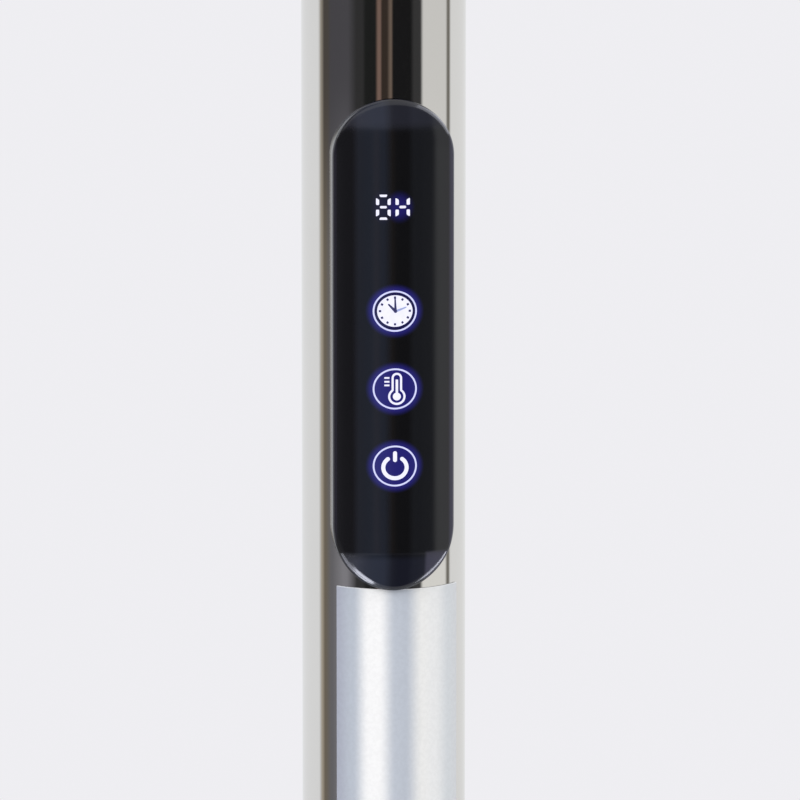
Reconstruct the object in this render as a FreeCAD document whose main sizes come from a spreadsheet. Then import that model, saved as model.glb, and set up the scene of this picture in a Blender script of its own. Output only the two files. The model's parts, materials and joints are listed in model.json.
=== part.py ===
import FreeCAD, Part
import math
import os

import Sketcher

# Ladder towel warmer with a touch control on its right upright.
# Frame: +Z up, +Y into the wall, the viewer looks along +Y. The origin lies on the wall,
# at the centre of the four wall screws. All lengths are millimetres, all angles degrees.

doc = FreeCAD.newDocument("towel_warmer")
sheet = doc.addObject("Spreadsheet::Sheet", "dims")

DRIVING_SIZES = {
    # ladder of tubes
    "upright_diameter": 32,
    "upright_wall": 1.2,
    "upright_spacing": 468,
    "bar_diameter": 22,
    "bar_wall": 1,
    "bar_pitch": 65,
    "control_gap": 240,
    "towel_gap": 150,
    "end_margin": 40,
    "bar_tip": 9,
    "fit_gap": 0.1,
    # end caps
    "cap_height": 4,
    "cap_round": 2.5,
    "spigot_length": 12,
    "spigot_wall": 2,
    # wall brackets
    "standoff": 80,
    "bracket_inset": 72.5,
    "stem_diameter": 20,
    "stem_bore": 13,
    "stem_end_gap": 1.5,
    "stem_setback": 5.5,
    "slide_gap": 0.15,
    "flange_diameter": 32,
    "flange_thickness": 4,
    "hub_length": 36,
    "screw_hole": 5.5,
    "screw_head": 9.5,
    "grub_diameter": 5,
    "grub_inset": 18.5,
    "grub_socket": 2.5,
    "grub_socket_depth": 1.8,
    "rosette_diameter": 46,
    "rosette_depth": 16,
    "rosette_wall": 1.5,
    "rosette_round": 4,
    "rosette_gap": 0.3,
    # mains cable gland
    "gland_thread": 12,
    "gland_hex": 16,
    "gland_flange": 4,
    "gland_bore": 9,
    "locknut_height": 4,
    "locknut_tail": 2,
    "gland_nut_height": 14,
    "gland_nut_tip": 11,
    "gland_mouth": 7.6,
    "seal_bore": 6.8,
    "seal_length": 8,
    # control panel
    "panel_width": 23.6,
    "panel_length": 95,
    "panel_proud": 4.2,
    "panel_crown": 22,
    "panel_slope_length": 7,
    "panel_slope_angle": 18,
    "panel_wall": 1.6,
    "panel_end_wall": 4.5,
    "panel_bend_round": 3,
    "panel_edge_round": 1.5,
    "panel_drop": 40,
    "gasket_thickness": 0.6,
    "slot_width": 15,
    "slot_inset": 5.5,
    "slot_round": 5.5,
    # control box inside the upright
    "tray_gap": 0.3,
    "tray_wall": 1.2,
    "tray_rise": 0.4,
    "tray_back": 3.5,
    "board_gap": 0.2,
    "board_thickness": 1.6,
    "board_recess": 1,
    "shroud_height": 2.6,
    "shroud_width": 10.8,
    "shroud_inset": 4.3,
    "well_diameter": 9.4,
    "display_width": 9.4,
    "display_height": 6.8,
    "display_depth": 2.4,
    "display_level": 26.7,
    "first_key_level": 6.4,
    "key_pitch": 15.05,
    "spring_diameter": 6.4,
    "spring_wire": 0.5,
    "lamp_size": 1.6,
    "lamp_height": 0.7,
    "relay_width": 10,
    "relay_depth": 11,
    "relay_length": 18,
    "relay_level": -24,
    "capacitor_diameter": 8,
    "capacitor_length": 11,
    "capacitor_level": 2,
    "chip_size": 7,
    "chip_height": 1.2,
    "chip_level": -6,
    "terminal_width": 10,
    "terminal_depth": 9,
    "terminal_length": 12,
    "terminal_level": 26,
    "clip_width": 6,
    "clip_strip": 0.8,
    "clip_tongue": 8,
    "clip_foot": 9,
    "clip_gap": 0.2,
    # sensing and heating
    "sensor_diameter": 3,
    "sensor_length": 9,
    "sensor_rise": 14,
    "fuse_diameter": 4,
    "fuse_length": 11,
    "fuse_drop": 14,
    "cable_diameter": 4,
    "cable_bend": 13,
    "cable_offset": 5,
    "cable_tail": 12,
    "cable_gap": 0.3,
    "end_seal_diameter": 6,
    "end_seal_length": 12,
    "end_seal_overlap": 6,
    # foil on the upright below the panel
    "foil_arc": 26.9,
    "foil_length": 72,
    "foil_thickness": 0.15,
    "foil_glue": 0.05,
    "foil_drop": 0.5,
    "foil_turn": 7,
}

for row, (alias, number) in enumerate(DRIVING_SIZES.items(), start=1):
    sheet.set(f"A{row}", alias)
    sheet.set(f"B{row}", str(number))
    sheet.setAlias(f"B{row}", alias)
doc.recompute()

# Counts
BARS_IN_GROUPS = (2, 4, 3)
GAPS_BETWEEN_GROUPS = ("dims.control_gap", "dims.towel_gap")
KEYS = 3
SPRING_TURNS = 3

# Places worked out from the driving sizes
PITCHES = sum(BARS_IN_GROUPS) - len(BARS_IN_GROUPS)
RACK_HEIGHT = f"(2 * dims.end_margin + {PITCHES} * dims.bar_pitch + dims.control_gap + dims.towel_gap)"
RACK_FOOT = f"(-{RACK_HEIGHT} / 2)"
UPRIGHT_RADIUS = "(dims.upright_diameter / 2)"
UPRIGHT_BORE = "(dims.upright_diameter / 2 - dims.upright_wall)"
BAR_RADIUS = "(dims.bar_diameter / 2)"
BAR_BORE = "(dims.bar_diameter / 2 - dims.bar_wall)"
SIDE_X = {"left": "(-dims.upright_spacing / 2)", "right": "(dims.upright_spacing / 2)"}
BRACKET_Z = {
    "upper": f"({RACK_HEIGHT} / 2 - dims.bracket_inset)",
    "lower": f"(dims.bracket_inset - {RACK_HEIGHT} / 2)",
}
AXIS_Y = "(-dims.standoff)"
HUB_RADIUS = "(dims.stem_bore / 2 - dims.slide_gap)"

END_SIGNS = {"upper": 1, "lower": -1}
TO_MINUS_Y = FreeCAD.Rotation(FreeCAD.Vector(1, 0, 0), 90)
TO_PLUS_X = FreeCAD.Rotation(FreeCAD.Vector(0, 1, 0), 90)
UPSIDE_DOWN = FreeCAD.Rotation(FreeCAD.Vector(1, 0, 0), 180)

pieces = []


def size(expression):
    return float(sheet.evalExpression(expression))


def bar_levels():
    levels = []
    pitches = 0
    gaps = ""
    for group, count in enumerate(BARS_IN_GROUPS):
        for step in range(count):
            levels.append(f"(dims.end_margin + {pitches} * dims.bar_pitch{gaps} - {RACK_HEIGHT} / 2)")
            if step < count - 1:
                pitches += 1
        if group < len(GAPS_BETWEEN_GROUPS):
            gaps += f" + {GAPS_BETWEEN_GROUPS[group]}"
    return levels


BAR_LEVELS = bar_levels()
LAST_BAR_BELOW_CONTROL = BARS_IN_GROUPS[0] - 1
FIRST_BAR_ABOVE_CONTROL = BARS_IN_GROUPS[0]
PANEL_Z = f"({BAR_LEVELS[FIRST_BAR_ABOVE_CONTROL]} - dims.panel_drop - dims.panel_length / 2)"
SLOT_LENGTH = "(dims.panel_length - 2 * dims.slot_inset)"
TRAY_HALF_WIDTH = "(dims.slot_width / 2 - dims.tray_gap)"
TRAY_HALF_LENGTH = f"({SLOT_LENGTH} / 2 - dims.tray_gap)"
TRAY_ROUND = "(dims.slot_round - dims.tray_gap)"
TRAY_INNER_ROUND = f"({TRAY_ROUND} - dims.tray_wall)"
TRAY_FRONT = f"({UPRIGHT_RADIUS} + dims.tray_rise)"
BOARD_FRONT = f"({UPRIGHT_RADIUS} - dims.board_recess)"
BOARD_REAR = f"({BOARD_FRONT} - dims.board_thickness)"
BOARD_HALF_WIDTH = f"({TRAY_HALF_WIDTH} - dims.tray_wall - dims.board_gap)"
BOARD_HALF_LENGTH = f"({TRAY_HALF_LENGTH} - dims.tray_wall - dims.board_gap)"
BOARD_ROUND = f"({TRAY_INNER_ROUND} - dims.board_gap)"
SHROUD_LENGTH = f"(2 * ({BOARD_HALF_LENGTH} - dims.shroud_inset))"


# Building helpers


def bind(thing, **expressions):
    for name, expression in expressions.items():
        thing.setExpression(name, expression)
    return thing


def place(thing, x="0", y="0", z="0", rotation=None):
    if rotation is not None:
        thing.Placement = FreeCAD.Placement(FreeCAD.Vector(), rotation)
    for axis, expression in (("x", x), ("y", y), ("z", z)):
        thing.setExpression(f"Placement.Base.{axis}", expression)
    return thing


def cylinder(name, radius, height, x="0", y="0", z="0", rotation=None):
    made = doc.addObject("Part::Cylinder", name)
    bind(made, Radius=radius, Height=height)
    return place(made, x, y, z, rotation)


def box(name, width, depth, height, x="0", y="0", z="0"):
    # centred on x and z, and reaching from y towards the back by depth
    made = doc.addObject("Part::Box", name)
    bind(made, Length=width, Width=depth, Height=height)
    return place(made, f"{x} - ({width}) / 2", y, f"{z} - ({height}) / 2")


def hexagon(name, across_flats, height, z="0"):
    made = doc.addObject("Part::Prism", name)
    made.Polygon = 6
    bind(made, Circumradius=f"({across_flats}) / 2 / cos(30)", Height=height)
    return place(made, z=z)


def cut(name, base, *tools):
    made = doc.addObject("Part::Cut", name)
    made.Base = base
    made.Tool = tools[0] if len(tools) == 1 else join(f"{name}_tools", *tools)
    return made


def join(name, *shapes):
    made = doc.addObject("Part::MultiFuse", name)
    made.Shapes = list(shapes)
    return made


def common(name, *shapes):
    made = doc.addObject("Part::MultiCommon", name)
    made.Shapes = list(shapes)
    return made


def group(name, *shapes):
    made = doc.addObject("Part::Compound", name)
    made.Links = list(shapes)
    return made


def tube(name, outer_radius, inner_radius, length):
    return cut(
        name,
        cylinder(f"{name}_outside", outer_radius, length),
        cylinder(f"{name}_inside", inner_radius, length),
    )


def stadium(name, width, length, depth):
    # an upright oblong with round ends, centred on x and z, reaching from y 0 towards the front by depth
    radius = f"({width}) / 2"
    straight = f"(({length}) - ({width}))"
    middle = box(f"{name}_middle", width, depth, straight, y=f"-({depth})")
    ends = [
        cylinder(f"{name}_{end}_end", radius, depth, z=f"{sign} * {straight} / 2", rotation=TO_MINUS_Y)
        for end, sign in END_SIGNS.items()
    ]
    made = join(name, middle, *ends)
    made.Refine = True
    return made


def turned(name, *outline):
    # a body of revolution about its own Z, from an outline of (radius, level) expressions
    body = doc.addObject("PartDesign::Body", name)
    sketch = body.newObject("Sketcher::SketchObject", f"{name}_outline")
    plane = next(f for f in body.Origin.OriginFeatures if f.Role == "XZ_Plane")
    sketch.AttachmentSupport = [(plane, "")]
    sketch.MapMode = "FlatFace"
    corners = [FreeCAD.Vector(size(r), size(level), 0) for r, level in outline]
    count = len(outline)
    for n, corner in enumerate(corners):
        sketch.addGeometry(Part.LineSegment(corner, corners[(n + 1) % count]), False)
    for n in range(count):
        sketch.addConstraint(Sketcher.Constraint("Coincident", n, 2, (n + 1) % count, 1))
    for n, (radius, level) in enumerate(outline):
        for kind, expression, own_axis in (("DistanceX", radius, -2), ("DistanceY", level, -1)):
            if expression == "0":
                sketch.addConstraint(Sketcher.Constraint("PointOnObject", n, 1, own_axis))
                continue
            datum = sketch.addConstraint(Sketcher.Constraint(kind, -1, 1, n, 1, size(expression)))
            sketch.renameConstraint(datum, f"{kind}{n}")
            sketch.setExpression(f"Constraints.{kind}{n}", expression)
    turning = body.newObject("PartDesign::Revolution", f"{name}_turning")
    turning.Profile = sketch
    turning.ReferenceAxis = (sketch, ["V_Axis"])
    turning.Angle = 360
    doc.recompute()
    return body


def ring_edges(shape, radius, level):
    # the names of the circular edges about Z of that radius at that level
    named = []
    for n, edge in enumerate(shape.Edges, start=1):
        curve = edge.Curve
        if not isinstance(curve, Part.Circle):
            continue
        if abs(curve.Radius - radius) < 1e-6 and abs(curve.Center.z - level) < 1e-6:
            named.append(f"Edge{n}")
    return named


def round_ring(body, radius, level, rounding):
    base = body.Tip
    fillet = body.newObject("PartDesign::Fillet", f"{body.Name}_rounding_{len(body.Group)}")
    fillet.Base = (base, ring_edges(base.Shape, size(radius), size(level)))
    bind(fillet, Radius=rounding)
    body.Tip = fillet
    doc.recompute()
    return body


def rounded_edges(name, base, find_edges, radius):
    doc.recompute()
    made = doc.addObject("Part::Fillet", name)
    made.Base = base
    made.Edges = [(n, size(radius), size(radius)) for n in find_edges(base.Shape)]
    return made


def keep(label, thing):
    thing.Label = label
    pieces.append(thing)
    return thing


# Ladder: two uprights, nine bars and four end caps


def bar_holes(side, inward):
    turn = FreeCAD.Rotation(FreeCAD.Vector(0, 1, 0), 90 * inward)
    return [
        cylinder(
            f"bar_hole_{side}_{n}",
            f"{BAR_RADIUS} + dims.fit_gap",
            "dims.upright_diameter",
            SIDE_X[side],
            AXIS_Y,
            level,
            turn,
        )
        for n, level in enumerate(BAR_LEVELS, start=1)
    ]


def edges_along_y(shape):
    straight = [(n, edge.tangentAt(edge.FirstParameter)) for n, edge in enumerate(shape.Edges, start=1)]
    return [n for n, along in straight if abs(along.y) > 1 - 1e-6]


def control_slot():
    front = f"-{UPRIGHT_RADIUS} - dims.upright_wall"
    block = box("slot_block", "dims.slot_width", UPRIGHT_RADIUS, SLOT_LENGTH, y=front)
    rounded = rounded_edges("slot_rounded", block, edges_along_y, "dims.slot_round")
    return place(rounded, SIDE_X["right"], AXIS_Y, PANEL_Z)


def upright(side, inward, *more_cuts):
    foot = (SIDE_X[side], AXIS_Y, RACK_FOOT)
    outside = cylinder(f"upright_{side}_outside", UPRIGHT_RADIUS, RACK_HEIGHT, *foot)
    inside = cylinder(f"upright_{side}_inside", UPRIGHT_BORE, RACK_HEIGHT, *foot)
    made = cut(f"upright_{side}", outside, inside, *bar_holes(side, inward), *more_cuts)
    return keep(f"upright_{side}", made)


def bar(number, level):
    made = tube(f"bar_{number:02d}", BAR_RADIUS, BAR_BORE, "dims.upright_spacing - 2 * dims.bar_tip")
    start = "dims.bar_tip - dims.upright_spacing / 2"
    return keep(f"bar_{number:02d}", place(made, start, AXIS_Y, level, TO_PLUS_X))


def end_cap(end, side, cable_hole=None):
    spigot = f"({UPRIGHT_BORE} - dims.fit_gap)"
    core = cable_hole or "0"
    made = turned(
        f"cap_{end}_{side}",
        (core, "dims.cap_height"),
        (UPRIGHT_RADIUS, "dims.cap_height"),
        (UPRIGHT_RADIUS, "0"),
        (spigot, "0"),
        (spigot, "-dims.spigot_length"),
        (f"{spigot} - dims.spigot_wall", "-dims.spigot_length"),
        (f"{spigot} - dims.spigot_wall", "0"),
        (core, "0"),
    )
    round_ring(made, UPRIGHT_RADIUS, "dims.cap_height", "dims.cap_round")
    level, turn = (f"{RACK_HEIGHT} / 2", None) if end == "top" else (RACK_FOOT, UPSIDE_DOWN)
    return keep(f"cap_{end}_{side}", place(made, SIDE_X[side], AXIS_Y, level, turn))


def ladder():
    upright("left", 1)
    upright("right", -1, control_slot())
    for number, level in enumerate(BAR_LEVELS, start=1):
        bar(number, level)
    for side in ("left", "right"):
        end_cap("top", side)
    end_cap("bottom", "left")
    end_cap("bottom", "right", "(dims.gland_thread / 2 + dims.fit_gap)")


# Wall brackets: a hub screwed to the wall, a stem that telescopes on it, a sliding rosette, a grub screw


def wall_base(name, x, z):
    made = turned(
        f"wall_base_{name}",
        ("dims.screw_hole / 2", "0"),
        ("dims.flange_diameter / 2", "0"),
        ("dims.flange_diameter / 2", "dims.flange_thickness"),
        (HUB_RADIUS, "dims.flange_thickness"),
        (HUB_RADIUS, "dims.hub_length"),
        ("dims.screw_head / 2", "dims.hub_length"),
        ("dims.screw_hole / 2", "dims.hub_length - (dims.screw_head - dims.screw_hole) / 2"),
    )
    return keep(f"wall_base_{name}", place(made, x, "0", z, TO_MINUS_Y))


def stem(name, x, z):
    rear = "-dims.stem_setback"
    length = "dims.standoff - dims.stem_setback"
    depth = "dims.hub_length - dims.stem_setback + dims.stem_end_gap"
    rod = cylinder(f"stem_{name}_rod", "dims.stem_diameter / 2", length, y=rear, rotation=TO_MINUS_Y)
    bore = cylinder(f"stem_{name}_bore", "dims.stem_bore / 2", depth, y=rear, rotation=TO_MINUS_Y)
    saddle = cylinder(
        f"stem_{name}_saddle", UPRIGHT_RADIUS, "2 * dims.stem_diameter", y=AXIS_Y, z="-dims.stem_diameter"
    )
    grub_hole = cylinder(
        f"stem_{name}_grub_hole",
        "dims.grub_diameter / 2",
        "dims.stem_diameter",
        y="-dims.stem_setback - dims.grub_inset",
        rotation=UPSIDE_DOWN,
    )
    made = cut(f"stem_{name}", rod, bore, saddle, grub_hole)
    return keep(f"stem_{name}", place(made, x, "0", z))


def grub_screw(name, x, z):
    # fills the stem's wall from the hub's clearance to just under the outside
    radius = "dims.grub_diameter / 2 - dims.fit_gap"
    length = "((dims.stem_diameter - dims.stem_bore) / 2 - dims.slide_gap)"
    thread = cylinder(f"grub_{name}_thread", radius, length)
    socket = hexagon(f"grub_{name}_socket", "dims.grub_socket", "dims.grub_socket_depth")
    made = cut(f"grub_{name}", thread, socket)
    return place(
        made,
        x,
        "-dims.stem_setback - dims.grub_inset",
        f"{z} - dims.stem_diameter / 2 + dims.slide_gap",
    )


def rosette(name, x, z):
    outer = "(dims.rosette_diameter / 2)"
    hole = "(dims.stem_diameter / 2 + dims.rosette_gap)"
    made = turned(
        f"rosette_{name}",
        (outer, "0"),
        (outer, "dims.rosette_depth"),
        (hole, "dims.rosette_depth"),
        (hole, "dims.rosette_depth - dims.rosette_wall"),
        (f"{outer} - dims.rosette_wall", "dims.rosette_depth - dims.rosette_wall"),
        (f"{outer} - dims.rosette_wall", "0"),
    )
    round_ring(
        made,
        f"{outer} - dims.rosette_wall",
        "dims.rosette_depth - dims.rosette_wall",
        "dims.rosette_round - dims.rosette_wall",
    )
    round_ring(made, outer, "dims.rosette_depth", "dims.rosette_round")
    return keep(f"rosette_{name}", place(made, x, "0", z, TO_MINUS_Y))


def brackets():
    grubs = []
    for height, z in BRACKET_Z.items():
        for side, x in SIDE_X.items():
            name = f"{height}_{side}"
            wall_base(name, x, z)
            stem(name, x, z)
            rosette(name, x, z)
            grubs.append(grub_screw(name, x, z))
    keep("grub_screws", group("grub_screws", *grubs))


# Mains cable gland in the right upright's lower cap, its own Z 0 on the cap's underside


def gland():
    x = SIDE_X["right"]
    underside = f"({RACK_FOOT} - dims.cap_height)"
    thread = "dims.gland_thread / 2"
    barrel_top = "(dims.cap_height + dims.locknut_height + dims.locknut_tail)"
    barrel_foot = "(dims.gland_flange + dims.seal_length)"

    barrel = cylinder("gland_barrel", thread, f"{barrel_top} + {barrel_foot}", z=f"-{barrel_foot}")
    flange = hexagon("gland_hexagon", "dims.gland_hex", "dims.gland_flange", z="-dims.gland_flange")
    bore = cylinder("gland_bore", "dims.gland_bore / 2", f"{barrel_top} + {barrel_foot}", z=f"-{barrel_foot}")
    body = cut("gland_body", join("gland_outside", barrel, flange), bore)
    keep("gland_body", place(body, x, AXIS_Y, underside))

    nut_blank = hexagon("locknut_blank", "dims.gland_hex", "dims.locknut_height", z="dims.cap_height")
    nut_hole = cylinder(
        "locknut_hole", f"{thread} + dims.fit_gap", "dims.locknut_height", z="dims.cap_height"
    )
    keep("gland_locknut", place(cut("gland_locknut", nut_blank, nut_hole), x, AXIS_Y, underside))

    nut_radius = "(dims.gland_hex / 2)"
    nut_foot = "(-dims.gland_flange - dims.gland_nut_height)"
    nut = turned(
        "gland_nut",
        (f"{thread} + dims.fit_gap", "-dims.gland_flange"),
        (nut_radius, "-dims.gland_flange"),
        (nut_radius, "-dims.gland_flange - dims.gland_nut_height / 2"),
        ("dims.gland_nut_tip / 2", nut_foot),
        ("dims.gland_mouth / 2", nut_foot),
        ("dims.gland_mouth / 2", f"-{barrel_foot}"),
        (f"{thread} + dims.fit_gap", f"-{barrel_foot}"),
    )
    keep("gland_nut", place(nut, x, AXIS_Y, underside))

    seal = tube("gland_seal", "dims.gland_bore / 2 - dims.fit_gap", "dims.seal_bore / 2", "dims.seal_length")
    keep("gland_seal", place(seal, x, AXIS_Y, f"{underside} - {barrel_foot}"))


# Control panel: a crowned capsule on a gasket. Own origin on the upright's axis at the panel's middle.

PANEL_FRONT = f"({UPRIGHT_RADIUS} + dims.panel_proud)"
CROWN_Y = f"(dims.panel_crown - {PANEL_FRONT})"
BEND_Z = "(dims.panel_length / 2 - dims.panel_slope_length)"
CAVITY_WIDTH = "dims.panel_width - 2 * dims.panel_wall"
CAVITY_LENGTH = "dims.panel_length - 2 * dims.panel_end_wall"
CUTTER_REACH = "dims.panel_length"
CUTTER_MARGIN = "dims.panel_wall"


def at_panel(thing):
    return place(thing, SIDE_X["right"], AXIS_Y, PANEL_Z)


def end_slope(end, sign):
    # what lies in front of a sloping end: a block less a crown that leans back from the bend
    angle = "dims.panel_slope_angle"
    pivot = f"{sign} * ({BEND_Z} - dims.panel_crown * tan({angle} / 2))"
    crown = cylinder(
        f"{end}_slope_crown",
        "dims.panel_crown",
        f"2 * {CUTTER_REACH}",
        y=f"{CROWN_Y} - {sign} * sin({angle}) * {CUTTER_REACH}",
        z=f"{pivot} - cos({angle}) * {CUTTER_REACH}",
        rotation=FreeCAD.Rotation(FreeCAD.Vector(1, 0, 0), -sign * size(angle)),
    )
    # the block starts half a slope's length before the bend, where the leaning crown is still in front
    block = box(
        f"{end}_slope_block",
        "2 * dims.panel_width",
        PANEL_FRONT,
        "2 * dims.panel_slope_length",
        y=f"-{PANEL_FRONT} - {CUTTER_MARGIN}",
        z=f"{sign} * ({BEND_Z} + dims.panel_slope_length / 2)",
    )
    return cut(f"{end}_slope", block, crown)


def front_outline(shape):
    # numbers of the edges where the capsule's side wall meets its crowned front
    half_width = size("dims.panel_width / 2")
    half_straight = size("(dims.panel_length - dims.panel_width) / 2")

    def on_wall(point):
        beyond = max(abs(point.z) - half_straight, 0)
        return abs(math.hypot(point.x, beyond) - half_width) < 1e-3

    numbers = []
    for n, edge in enumerate(shape.Edges, start=1):
        samples = edge.discretize(5)
        depths = [point.y for point in samples]
        across = max(depths) - min(depths) > 0.9 * edge.Length
        at_back = max(depths) > -1e-3
        if all(on_wall(point) for point in samples) and not across and not at_back:
            numbers.append(n)
    return numbers


def bend_lines(shape):
    # numbers of the edges where the crown meets a leaning crown
    def axis_of(face):
        curved = isinstance(face.Surface, Part.Cylinder)
        return face.Surface.Axis if curved and face.Surface.Radius == size("dims.panel_crown") else None

    numbers = []
    for n, edge in enumerate(shape.Edges, start=1):
        axes = [axis_of(f) for f in shape.Faces if any(e.isSame(edge) for e in f.Edges)]
        if len(axes) == 2 and None not in axes and axes[0].cross(axes[1]).Length > 1e-3:
            numbers.append(n)
    return numbers


def panel_cover():
    capsule = stadium(
        "panel_capsule", "dims.panel_width", "dims.panel_length", f"{PANEL_FRONT} + {CUTTER_MARGIN}"
    )
    crown = cylinder(
        "panel_crown_solid", "dims.panel_crown", f"2 * {CUTTER_REACH}", y=CROWN_Y, z=f"-{CUTTER_REACH}"
    )
    crowned = common("panel_crowned", capsule, crown)
    slopes = [end_slope(end, sign) for end, sign in END_SIGNS.items()]
    blank = cut("panel_blank", crowned, *slopes)
    softened = rounded_edges("panel_softened", blank, bend_lines, "dims.panel_bend_round")
    rounded = rounded_edges("panel_rounded", softened, front_outline, "dims.panel_edge_round")
    hollow = common(
        "panel_hollow",
        stadium("panel_hollow_plan", CAVITY_WIDTH, CAVITY_LENGTH, PANEL_FRONT),
        cylinder(
            "panel_hollow_crown",
            "dims.panel_crown - dims.panel_wall",
            f"2 * {CUTTER_REACH}",
            y=CROWN_Y,
            z=f"-{CUTTER_REACH}",
        ),
    )
    seat = f"{UPRIGHT_RADIUS} + dims.gasket_thickness"
    saddle = cylinder("panel_saddle", seat, f"2 * {CUTTER_REACH}", z=f"-{CUTTER_REACH}")
    keep("panel_cover", at_panel(cut("panel_cover", rounded, hollow, saddle)))


def panel_gasket():
    plan = cut(
        "gasket_plan",
        stadium("gasket_outside", "dims.panel_width", "dims.panel_length", PANEL_FRONT),
        stadium("gasket_inside", CAVITY_WIDTH, CAVITY_LENGTH, PANEL_FRONT),
    )
    skin = tube(
        "gasket_skin", f"{UPRIGHT_RADIUS} + dims.gasket_thickness", UPRIGHT_RADIUS, f"2 * {CUTTER_REACH}"
    )
    place(skin, z=f"-{CUTTER_REACH}")
    keep("panel_gasket", at_panel(common("panel_gasket", plan, skin)))


# Control box: tray, board, light shroud, display, touch springs, lamps, relay, capacitor, chip, terminals


def key_levels():
    return [f"(dims.first_key_level - {n} * dims.key_pitch)" for n in range(KEYS)]


def control_tray():
    outside = box(
        "tray_outside",
        f"2 * {TRAY_HALF_WIDTH}",
        f"{TRAY_FRONT} + dims.tray_back",
        f"2 * {TRAY_HALF_LENGTH}",
        y=f"-{TRAY_FRONT}",
    )
    inside = box(
        "tray_inside",
        f"2 * ({TRAY_HALF_WIDTH} - dims.tray_wall)",
        f"{TRAY_FRONT} + dims.tray_back - dims.tray_wall",
        f"2 * ({TRAY_HALF_LENGTH} - dims.tray_wall)",
        y=f"-{TRAY_FRONT}",
    )
    shell = rounded_edges("tray_shell", outside, edges_along_y, TRAY_ROUND)
    hollow = rounded_edges("tray_hollow", inside, edges_along_y, TRAY_INNER_ROUND)
    keep("control_tray", at_panel(cut("control_tray", shell, hollow)))


def circuit_board():
    blank = box(
        "board_blank",
        f"2 * {BOARD_HALF_WIDTH}",
        "dims.board_thickness",
        f"2 * {BOARD_HALF_LENGTH}",
        y=f"-{BOARD_FRONT}",
    )
    made = rounded_edges("circuit_board", blank, edges_along_y, BOARD_ROUND)
    keep("circuit_board", at_panel(made))


def light_shroud():
    front = f"-({BOARD_FRONT} + dims.shroud_height)"
    block = box("shroud_block", "dims.shroud_width", "dims.shroud_height", SHROUD_LENGTH, y=front)
    window = box(
        "shroud_window",
        "dims.display_width + 2 * dims.board_gap",
        "dims.shroud_height",
        "dims.display_height + 2 * dims.board_gap",
        y=front,
        z="dims.display_level",
    )
    wells = [
        cylinder(
            f"shroud_well_{n}",
            "dims.well_diameter / 2",
            "dims.shroud_height",
            y=f"-{BOARD_FRONT}",
            z=level,
            rotation=TO_MINUS_Y,
        )
        for n, level in enumerate(key_levels(), start=1)
    ]
    keep("light_shroud", at_panel(cut("light_shroud", block, window, *wells)))


def display_module():
    made = box(
        "display_module",
        "dims.display_width",
        "dims.display_depth",
        "dims.display_height",
        SIDE_X["right"],
        f"{AXIS_Y} - {BOARD_FRONT} - dims.display_depth",
        f"{PANEL_Z} + dims.display_level",
    )
    keep("display_module", made)


def touch_springs():
    # each coil stands on the board and reaches the shroud's front
    wire = size("dims.spring_wire")
    radius = size("dims.spring_diameter / 2") - wire / 2
    height = size("dims.shroud_height") - wire
    helix = Part.makeHelix(height / SPRING_TURNS, height, radius)
    start = FreeCAD.Vector(radius, 0, 0)
    section = Part.Wire(Part.makeCircle(wire / 2, start, FreeCAD.Vector(0, 1, 0)))
    coil = helix.makePipeShell([section], True, True)
    coil.translate(FreeCAD.Vector(0, 0, wire / 2))
    coils = []
    for level in key_levels():
        where = FreeCAD.Vector(0, -size(BOARD_FRONT), size(level))
        moved = coil.copy()
        moved.Placement = FreeCAD.Placement(where, TO_MINUS_Y).multiply(moved.Placement)
        coils.append(moved)
    made = doc.addObject("Part::Feature", "touch_springs")
    made.Shape = Part.makeCompound(coils)
    keep("touch_springs", at_panel(made))


def key_lamps():
    lamps = [
        box(
            f"key_lamp_{n}",
            "dims.lamp_size",
            "dims.lamp_height",
            "dims.lamp_size",
            y=f"-({BOARD_FRONT} + dims.lamp_height)",
            z=level,
        )
        for n, level in enumerate(key_levels(), start=1)
    ]
    keep("key_lamps", at_panel(group("key_lamps", *lamps)))


def on_board_rear(name, width, depth, height, level):
    made = box(
        name, width, depth, height, SIDE_X["right"], f"{AXIS_Y} - {BOARD_REAR}", f"{PANEL_Z} + {level}"
    )
    return keep(name, made)


def rear_components():
    on_board_rear("relay", "dims.relay_width", "dims.relay_depth", "dims.relay_length", "dims.relay_level")
    on_board_rear("control_chip", "dims.chip_size", "dims.chip_height", "dims.chip_size", "dims.chip_level")
    on_board_rear(
        "terminal_block",
        "dims.terminal_width",
        "dims.terminal_depth",
        "dims.terminal_length",
        "dims.terminal_level",
    )
    can = cylinder(
        "smoothing_capacitor",
        "dims.capacitor_diameter / 2",
        "dims.capacitor_length",
        SIDE_X["right"],
        f"{AXIS_Y} - {BOARD_REAR}",
        f"{PANEL_Z} + dims.capacitor_level + dims.chip_size",
        FreeCAD.Rotation(FreeCAD.Vector(1, 0, 0), -90),
    )
    keep("smoothing_capacitor", can)


def retaining_clips():
    # an angle on each end of the tray, its tongue behind the upright's wall beyond the slot
    clips = []
    for name, sign in END_SIGNS.items():
        wall = f"sqrt({UPRIGHT_BORE} ^ 2 - (dims.clip_width / 2) ^ 2)"
        front = f"-({wall} - dims.clip_gap)"
        tongue = box(
            f"clip_tongue_{name}",
            "dims.clip_width",
            "dims.clip_strip",
            "dims.clip_tongue",
            y=front,
            z=f"{sign} * ({TRAY_HALF_LENGTH} + dims.clip_tongue / 2)",
        )
        foot = box(
            f"clip_foot_{name}",
            "dims.clip_width",
            "dims.clip_foot",
            "dims.clip_strip",
            y=front,
            z=f"{sign} * ({TRAY_HALF_LENGTH} + dims.clip_strip / 2)",
        )
        clips.append(join(f"clip_{name}", tongue, foot))
    keep("retaining_clips", at_panel(group("retaining_clips", *clips)))


# Heating: a sensor, a thermal fuse and two cables that run through every bar


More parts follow.
